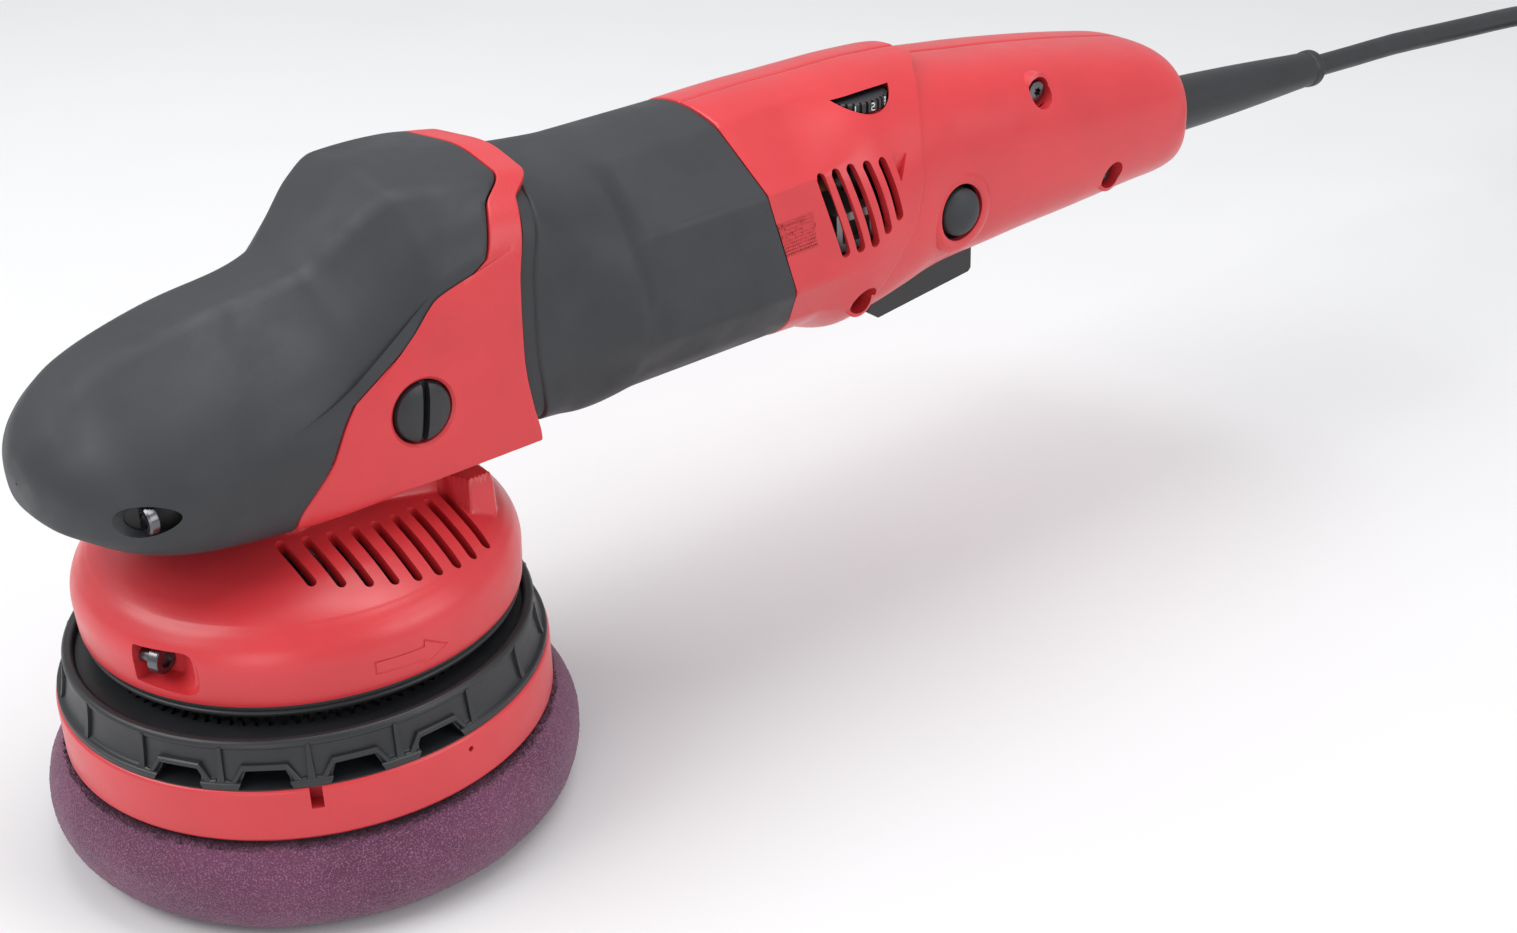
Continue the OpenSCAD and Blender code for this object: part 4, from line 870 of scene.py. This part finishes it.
def arrow_groove():
    """Cutters along the outline of the arrow that shows which way the drive turns."""
    path = [(-11, -55, 65.2), (-11, -55, 61.9), (1.5, -56, 60.8), (1.3, -56, 59.4), (8.4, -55.5, 62.4),
            (1.9, -56, 66.4), (1.7, -56, 64.6)]
    groove = []
    for i in range(len(path)):
        p, e = np.array(path[i]), np.array(path[(i + 1) % len(path)])
        count = max(1, int(np.linalg.norm(e - p) / 2.0))
        for j in range(count):
            ends = []
            for f in (j / count, (j + 1) / count):
                c = p + (e - p) * f
                c[:2] *= 56.15 / np.linalg.norm(c[:2])
                ends.append(c)
            v = Vector(ends[1] - ends[0])
            seg = turned("groove", [(0, -0.15), (0.28, -0.15), (0.28, v.length + 0.15), (0, v.length + 0.15)], 8)
            groove.append(place(seg, frame_at(ends[0], v)))
    return groove


make_hood()


# ---- pad side: ring, plate, foam
ORBIT, ORBIT_AT = 4, math.radians(221)
PAD = (ORBIT * math.cos(ORBIT_AT), ORBIT * math.sin(ORBIT_AT))


def around_pad(o):
    return place(o, Matrix.Translation(Vector((*PAD, 0)) * MM))


def spun(o, degrees):
    """The piece turned about the Z axis."""
    return place(o, Matrix.Rotation(math.radians(degrees), 4, "Z"))


OUTWARDS = Matrix(((0, 0, 1, 0), (1, 0, 0, 0), (0, 1, 0, 0), (0, 0, 0, 1)))


def make_ring():
    prof = [(17, 41), (62, 41), (62, 42.5), (61.6, 42.8), (60.7, 43), (60.2, 43.6), (59.6, 46), (59.2, 48),
            (58.9, 50.6), (59.3, 50.9), (59.35, 51.5), (59, 52.2), (58.5, 52.6), (57.2, 52.6), (56.6, 52.3),
            (56.3, 51.8), (56.1, 50), (56.1, 43.6), (17, 43.5)]
    ring = turned("ring_wall", soft_outline(prof, 0.18, 2), 360, sharp=30)
    castles = [20 * k - 148 for k in range(4)]
    gap = [(-6.5, 41.3), (6.5, 41.3), (4.5, 45.4), (-4.5, 45.4)]
    cut(ring, [spun(place(prism("castle", gap, 54, 66), OUTWARDS), at) for at in castles], sharp=30)
    parts = [ring]
    teeth = []
    for k in range(96):
        for lead, rad in ((-0.37, 49.1), (-0.16, 47.2), (0.16, 47.2), (0.37, 49.1)):
            a = math.radians(3.75 * (k + 0.5 + lead)) + ORBIT_AT - math.pi
            teeth.append((rad * math.cos(a), rad * math.sin(a)))
    wall = [(56.2 * math.cos(math.atan2(y, x)), 56.2 * math.sin(math.atan2(y, x))) for x, y in teeth]
    parts.append(thick("teeth", [[(x, y, z) for x, y in wall] for z in (43.2, 50.5)],
                       [[(x, y, z) for x, y in teeth] for z in (43.2, 50.5)], close=True))
    levels = [([(57.5, -root), (r, -tip), (r, tip), (57.5, root)], z) for root, r, tip, z in
              ((1.15, 61.6, 1, 42.3), (1.1, 61, 0.9, 43.4), (0.8, 60.2, 0.6, 47), (0.62, 59.55, 0.45, 51.4))]
    parts += [spun(flared_prism("rib", levels), 20 * k + 2) for k in range(18)]
    path = [(-9.4, 42.6), (-7.6, 42.6), (-5.2, 46.4), (5.2, 46.4), (7.6, 42.6), (9.4, 42.6)]
    for at in castles:
        rows = []
        for i, (u, z) in enumerate(path):
            a0 = np.array(path[max(0, i - 1)])
            b0 = np.array(path[min(len(path) - 1, i + 1)])
            t = (b0 - a0) / np.linalg.norm(b0 - a0)
            nrm = np.array([-t[1], t[0]]) * 0.75
            out = []
            for du, dr in ((-1, -1.2), (-1, 0.9), (-0.6, 1.2), (0.6, 1.2), (1, 0.9), (1, -1.2)):
                uu, z2 = u + nrm[0] * du, z + nrm[1] * du
                rad = 60.2 - 0.14 * (z2 - 43) + dr
                ang = math.radians(at) + uu / 60.5
                out.append((rad * math.cos(ang), rad * math.sin(ang), z2))
            rows.append(out)
        parts.append(add("castle_rim", *grid(rows, True, (True, True))))
    whole = join("ring_gear_skin", parts, 30)
    around_pad(whole)
    keep(whole, "pad", "black_plastic", ["ring_gear"])
    plate = turned("plate_rim", soft_outline([(4.2, 26.4), (61.7, 26.4), (62.5, 27.2), (62.5, 40.3), (61.9, 40.98),
                                              (4.2, 40.98)], 0.35, 3), 240, sharp=30)
    mouth = [(58, -1.5), (66, -1.5), (66, 1.5), (58, 1.5)]
    slot = spun(flared_prism("slot", [(mouth, 35.2), (mouth, 43)]), -117.5)
    dot = place(turned("dot", [(0, 60.9), (0.75, 60.9), (0.75, 64), (0, 64)], 20), frame_at((0, 0, 37), (1, 0, 0)))
    cut(plate, [slot, spun(dot, -81)], sharp=30)
    around_pad(plate)
    keep(plate, "pad", "red_plastic", ["backing_plate"])


def make_foam():
    """Open celled foam disc: a pressed, slightly uneven body with pitted skin and a fuzzy upper edge."""
    p = np.array([(0.3, 0.25), (40, 0.2), (56, 0.25), (60, 0.7), (63.4, 2), (65.9, 4.4), (67.5, 7.6), (68.3, 11.2),
                  (68.4, 14.6), (67.7, 18), (66.2, 21), (64.2, 23.4), (62.6, 24.7), (60.8, 25.15), (40, 25.05),
                  (0.3, 25)])
    u = np.concatenate([[0], np.cumsum(np.linalg.norm(np.diff(p, axis=0), axis=1))])
    fine = np.concatenate([np.linspace(0, u[2], 14)[:-1], np.linspace(u[2], u[13], 90),
                           np.linspace(u[13], u[-1], 8)[1:]])
    curve = smooth_table(u, p, fine)
    tang = np.gradient(curve, axis=0)
    tang /= np.linalg.norm(tang, axis=1)[:, None] + 1e-9
    nrm = np.stack([tang[:, 1], -tang[:, 0]], 1)
    around = 720
    points = []
    for i in range(around):
        a = 2 * math.pi * i / around
        c, s = math.cos(a), math.sin(a)
        for (r, z), (nr, nz) in zip(curve, nrm):
            q = Vector((r * c, r * s, z))
            soft = 0.28 * noise.noise(q * 0.045) + 0.12 * noise.noise(q * 0.16 + Vector((7, 1, 3)))
            pits = 0.16 * noise.noise(q * 1.1) + 0.12 * noise.noise(q * 2.3 + Vector((3, 9, 4)))
            share = min(1.0, max(0.0, (r - 50) / 8))
            d = (soft + pits) * share
            points.append((PAD[0] + (r + nr * d) * c, PAD[1] + (r + nr * d) * s, max(0.0, z + nz * d)))
    n = len(curve)
    faces = ring_faces(around, n, False)
    faces.append(tuple(i * n for i in range(around)))
    faces.append(tuple(i * n + n - 1 for i in reversed(range(around))))
    o = clean(add("foam_body", points, faces), 80, 0.001)
    keep(o, "pad", "foam", ["foam_pad"])
    rng = np.random.default_rng(5)
    pts, faces = [], []
    for _ in range(5200):
        a = rng.uniform(0, 2 * math.pi)
        r0 = rng.uniform(61.2, 63.4)
        z0 = 25.25 + 0.3 * rng.uniform() - max(0, r0 - 62.3) * 0.7
        lean, rise, size = rng.uniform(-0.9, 1.1), rng.uniform(0.5, 1.5), rng.uniform(0.05, 0.12)
        twist = rng.uniform(-0.016, 0.016)
        k = len(pts)
        for r, ang, z in ((r0, a - size / 62, z0 - 0.3), (r0, a + size / 62, z0 - 0.3),
                          (r0 + lean * 0.8, a + twist, z0 + rise), (r0 - size, a, z0 - 0.3)):
            pts.append((PAD[0] + r * math.cos(ang), PAD[1] + r * math.sin(ang), z))
        faces += [(k, k + 1, k + 2), (k + 1, k + 3, k + 2), (k + 3, k, k + 2), (k, k + 3, k + 1)]
    fuzz = add("foam_fringe", pts, faces, 60)
    keep(fuzz, "pad", "hook_fabric")


make_ring()
make_foam()


# ---- controls on the handle
def make_controls():
    dial_place = Matrix.Translation(Vector((DIAL_X, DIAL_Y, 146.5)) * MM)
    button_place = frame_at((BUTTON_X, -30.1, BUTTON_Z), (0, -1, 0))
    dial = turned("dial", [(1.6, 0), (11, 0), (11.5, 0.4), (11.5, 2.9), (11, 3.3), (1.6, 3.3)], 216)
    gap = [(10.6, -0.34), (12.4, -0.5), (12.4, 0.5), (10.6, 0.34)]
    cut(dial, [spun(prism("gap", gap, -1, 5), 10 * k) for k in range(36)])
    keep(place(dial, dial_place), "dial", "black_plastic", ["speed_dial"])
    marks = []
    for k in range(6):
        marks += digit_strokes(k + 1, -120 + 30 * k)
    keep(place(join("dial_numbers", marks), dial_place), "dial", "black_plastic", finish=PAINT)
    cap = turned("button_cap", [(0, -6), (6.9, -6), (7, 0.4), (6.8, 1.1), (6.1, 1.9), (4.6, 2.6), (2.6, 3.1),
                                (0, 3.25)], 64, closed=False)
    keep(place(cap, button_place), "lock", "black_rubber", ["lock_button"])
    # Cup that closes the button hole, given the darkest finish: the dark ring round the cap is painted shade of the
    # recess.
    shade_well = turned("button_well_painted_shade", [(0, -7.4), (9.2, -7.4), (9.2, -1.6), (8.3, -1.2), (8.3, -6.8), (0, -6.8)], 64)
    keep(place(shade_well, button_place), "tool", "black_plastic", finish=FINISH["carbon"])
    n = 72
    rows = []
    for rad, out in ((12.2, -1.5), (12.2, -0.5), (11.2, 0.5), (10, 0.9), (8.7, 0.95), (8.4, 0.75), (8.4, -1.5)):
        shift, tall = (0.9, 1.05) if rad > 9 else (0, 1)
        ring = []
        for k in range(n):
            a = 2 * math.pi * k / n
            x, z = rad * math.cos(a) + shift, rad * math.sin(a) * tall
            ring.append((BUTTON_X + x, -30.45 - out + 0.05 * x + 0.0075 * z * z, BUTTON_Z + z))
        rows.append(ring)
    pts, faces = grid(rows)
    faces += [(6 * n + k, 6 * n + (k + 1) % n, (k + 1) % n, k) for k in range(n)]
    keep(clean(add("button_collar", pts, faces), 40), "tool", "red_plastic")
    boot = turned("boot", soft_outline([(3.8, -22), (9.3, -22), (9.3, 2.8), (9.1, 14), (8.7, 30), (8, 48), (7.2, 64),
                                        (6.3, 80), (5.9, 88), (6.3, 88.5), (6.4, 91.2), (6, 92.1), (3.8, 92.1)],
                                       0.5, 3), 96)
    place(boot, frame_at((311, 0, 106.89), (92, 0, -4.89)))
    keep(boot, "tool", "cord_rubber", ["strain_relief"])
    star = []
    for k in range(24):
        r, a = 1.45 if (k // 2) % 2 else 1.05, math.pi * k / 12
        star.append((r * math.cos(a), r * math.sin(a)))
    for i, (x, z) in enumerate(SCREWS):
        head = turned("head", [(0, 0), (3.2, 0), (3.3, 0.3), (3.3, 1.6), (2.9, 2.3), (1.6, 2.6), (0, 2.65)], 40,
                      closed=False)
        cut(head, [prism("star", star, 1.2, 5)])
        place(head, frame_at((x, -20.5, z), (0, -1, 0)))
        head.name = "shell_screw_%d" % (i + 1)
        keep(head, "tool", "screws", ["shell_screws"] if i == 0 else [])
        cup = turned("screw_cup_%d" % (i + 1), [(0, 0), (5.6, 0), (5.6, CUPS[i]), (4.45, CUPS[i] + 0.5), (4.45, 0.9),
                                                (0, 0.9)], 48)
        place(cup, frame_at((x, -19.5, z), (0, -1, 0)))
        keep(cup, "tool", "red_plastic")


STROKES = ["bc", "abged", "abgcd", "fgbc", "afgcd", "afgecd"]
BARS = {"a": (0, 1, True), "b": (0.5, 0.5, False), "c": (0.5, -0.5, False), "d": (0, -1, True),
        "e": (-0.5, -0.5, False), "f": (-0.5, 0.5, False), "g": (0, 0, True)}


def digit_strokes(number, degrees):
    """Raised strokes of one number on the wheel's edge."""
    strokes = []
    for letter in STROKES[number - 1]:
        u, v, wide = BARS[letter]
        hw, hh = (0.62, 0.14) if wide else (0.14, 0.55)
        v *= 0.95
        bar = prism("stroke", [(u - hw, v - hh), (u + hw, v - hh), (u + hw, v + hh), (u - hw, v + hh)], 11.3, 11.56)
        strokes.append(spun(place(bar, Matrix.Translation((0, 0, 1.65 * MM)) @ OUTWARDS), degrees))
    return strokes


make_controls()


# ---- CAD nodes that show as they are
SLOT_OF = {
    "steel": ["plate_screw", "ring_screws", "pad_spindle", "pad_bearings", "spindle", "crown_nut",
              "spindle_bearing_lower", "spindle_bearing_upper", "bearing_retainer", "fixed_gear_screws",
              "bracket_screws", "motor_bearing_front", "motor_bearing_rear", "motor_shaft", "trigger_spring"],
    "cast_metal": ["eccentric_hub", "counterweight", "crown_gear", "pinion", "fixed_gear", "bearing_bracket",
                   "brush_holders"],
    "laminations": ["armature_core", "stator_core"],
    "copper": ["commutator", "field_coils"],
    "carbon": ["carbon_brushes"],
    "black_plastic": ["fan", "air_baffle", "switch_body", "trigger", "cord_clamp"],
    "circuit": ["speed_module"],
    "cord_rubber": ["inner_cable"],
    "hook_fabric": ["hook_layer"],
}


def dress_nodes():
    for slot, names in SLOT_OF.items():
        for n in names:
            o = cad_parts[n]
            o.data.materials.clear()
            o.data.materials.append(FINISH[slot])
    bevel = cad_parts["trigger"].modifiers.new("soft_edges", "BEVEL")
    bevel.width = 0.9 * MM
    bevel.segments = 3
    bevel.limit_method = "ANGLE"
    bevel.angle_limit = math.radians(35)


dress_nodes()


# ---- floor and light
def make_stage():
    """Pale floor, and a studio of one bright sky and four soft panels."""
    me = bpy.data.meshes.new("floor")
    e = 12.0
    me.from_pydata([(-e, -e, -0.0002), (e, -e, -0.0002), (e, e, -0.0002), (-e, e, -0.0002)], [], [(0, 1, 2, 3)])
    o = linked("floor", me)
    me.materials.append(finish_of("pale_floor", (0.76, 0.76, 0.765), 0.7, mottle=0.006, mottle_scale=6,
                                  grain=0.05, grain_scale=600))
    world = bpy.data.worlds.new("studio")
    bpy.context.scene.world = world
    world.use_nodes = True
    set_sockets(world.node_tree.nodes["Background"], {"Color": (0.96, 0.975, 1.0, 1), "Strength": 0.56})
    for name, spot, aim, size, power in (
            ("key", (-0.75, 0.35, 0.95), (0.05, 0, 0.08), (0.9, 0.6), 8.0),
            ("over", (0.25, 0.05, 1.15), (0.08, 0, 0.1), (1.3, 0.35), 7.0),
            ("fill", (0.75, -1.35, 0.75), (0.08, 0, 0.08), (1.0, 0.8), 7.0),
            ("low", (-1.1, -0.9, 0.35), (0, 0, 0.06), (0.6, 0.6), 2.5)):
        light = bpy.data.lights.new(name, "AREA")
        light.shape = "RECTANGLE"
        light.size, light.size_y = size
        light.energy = power
        lo = linked(name, light)
        lo.location = spot
        lo.rotation_euler = (Vector(aim) - Vector(spot)).to_track_quat("-Z", "Y").to_euler()
    bpy.context.scene.view_settings.view_transform = "Standard"
    bpy.context.scene.view_settings.look = "None"


make_stage()
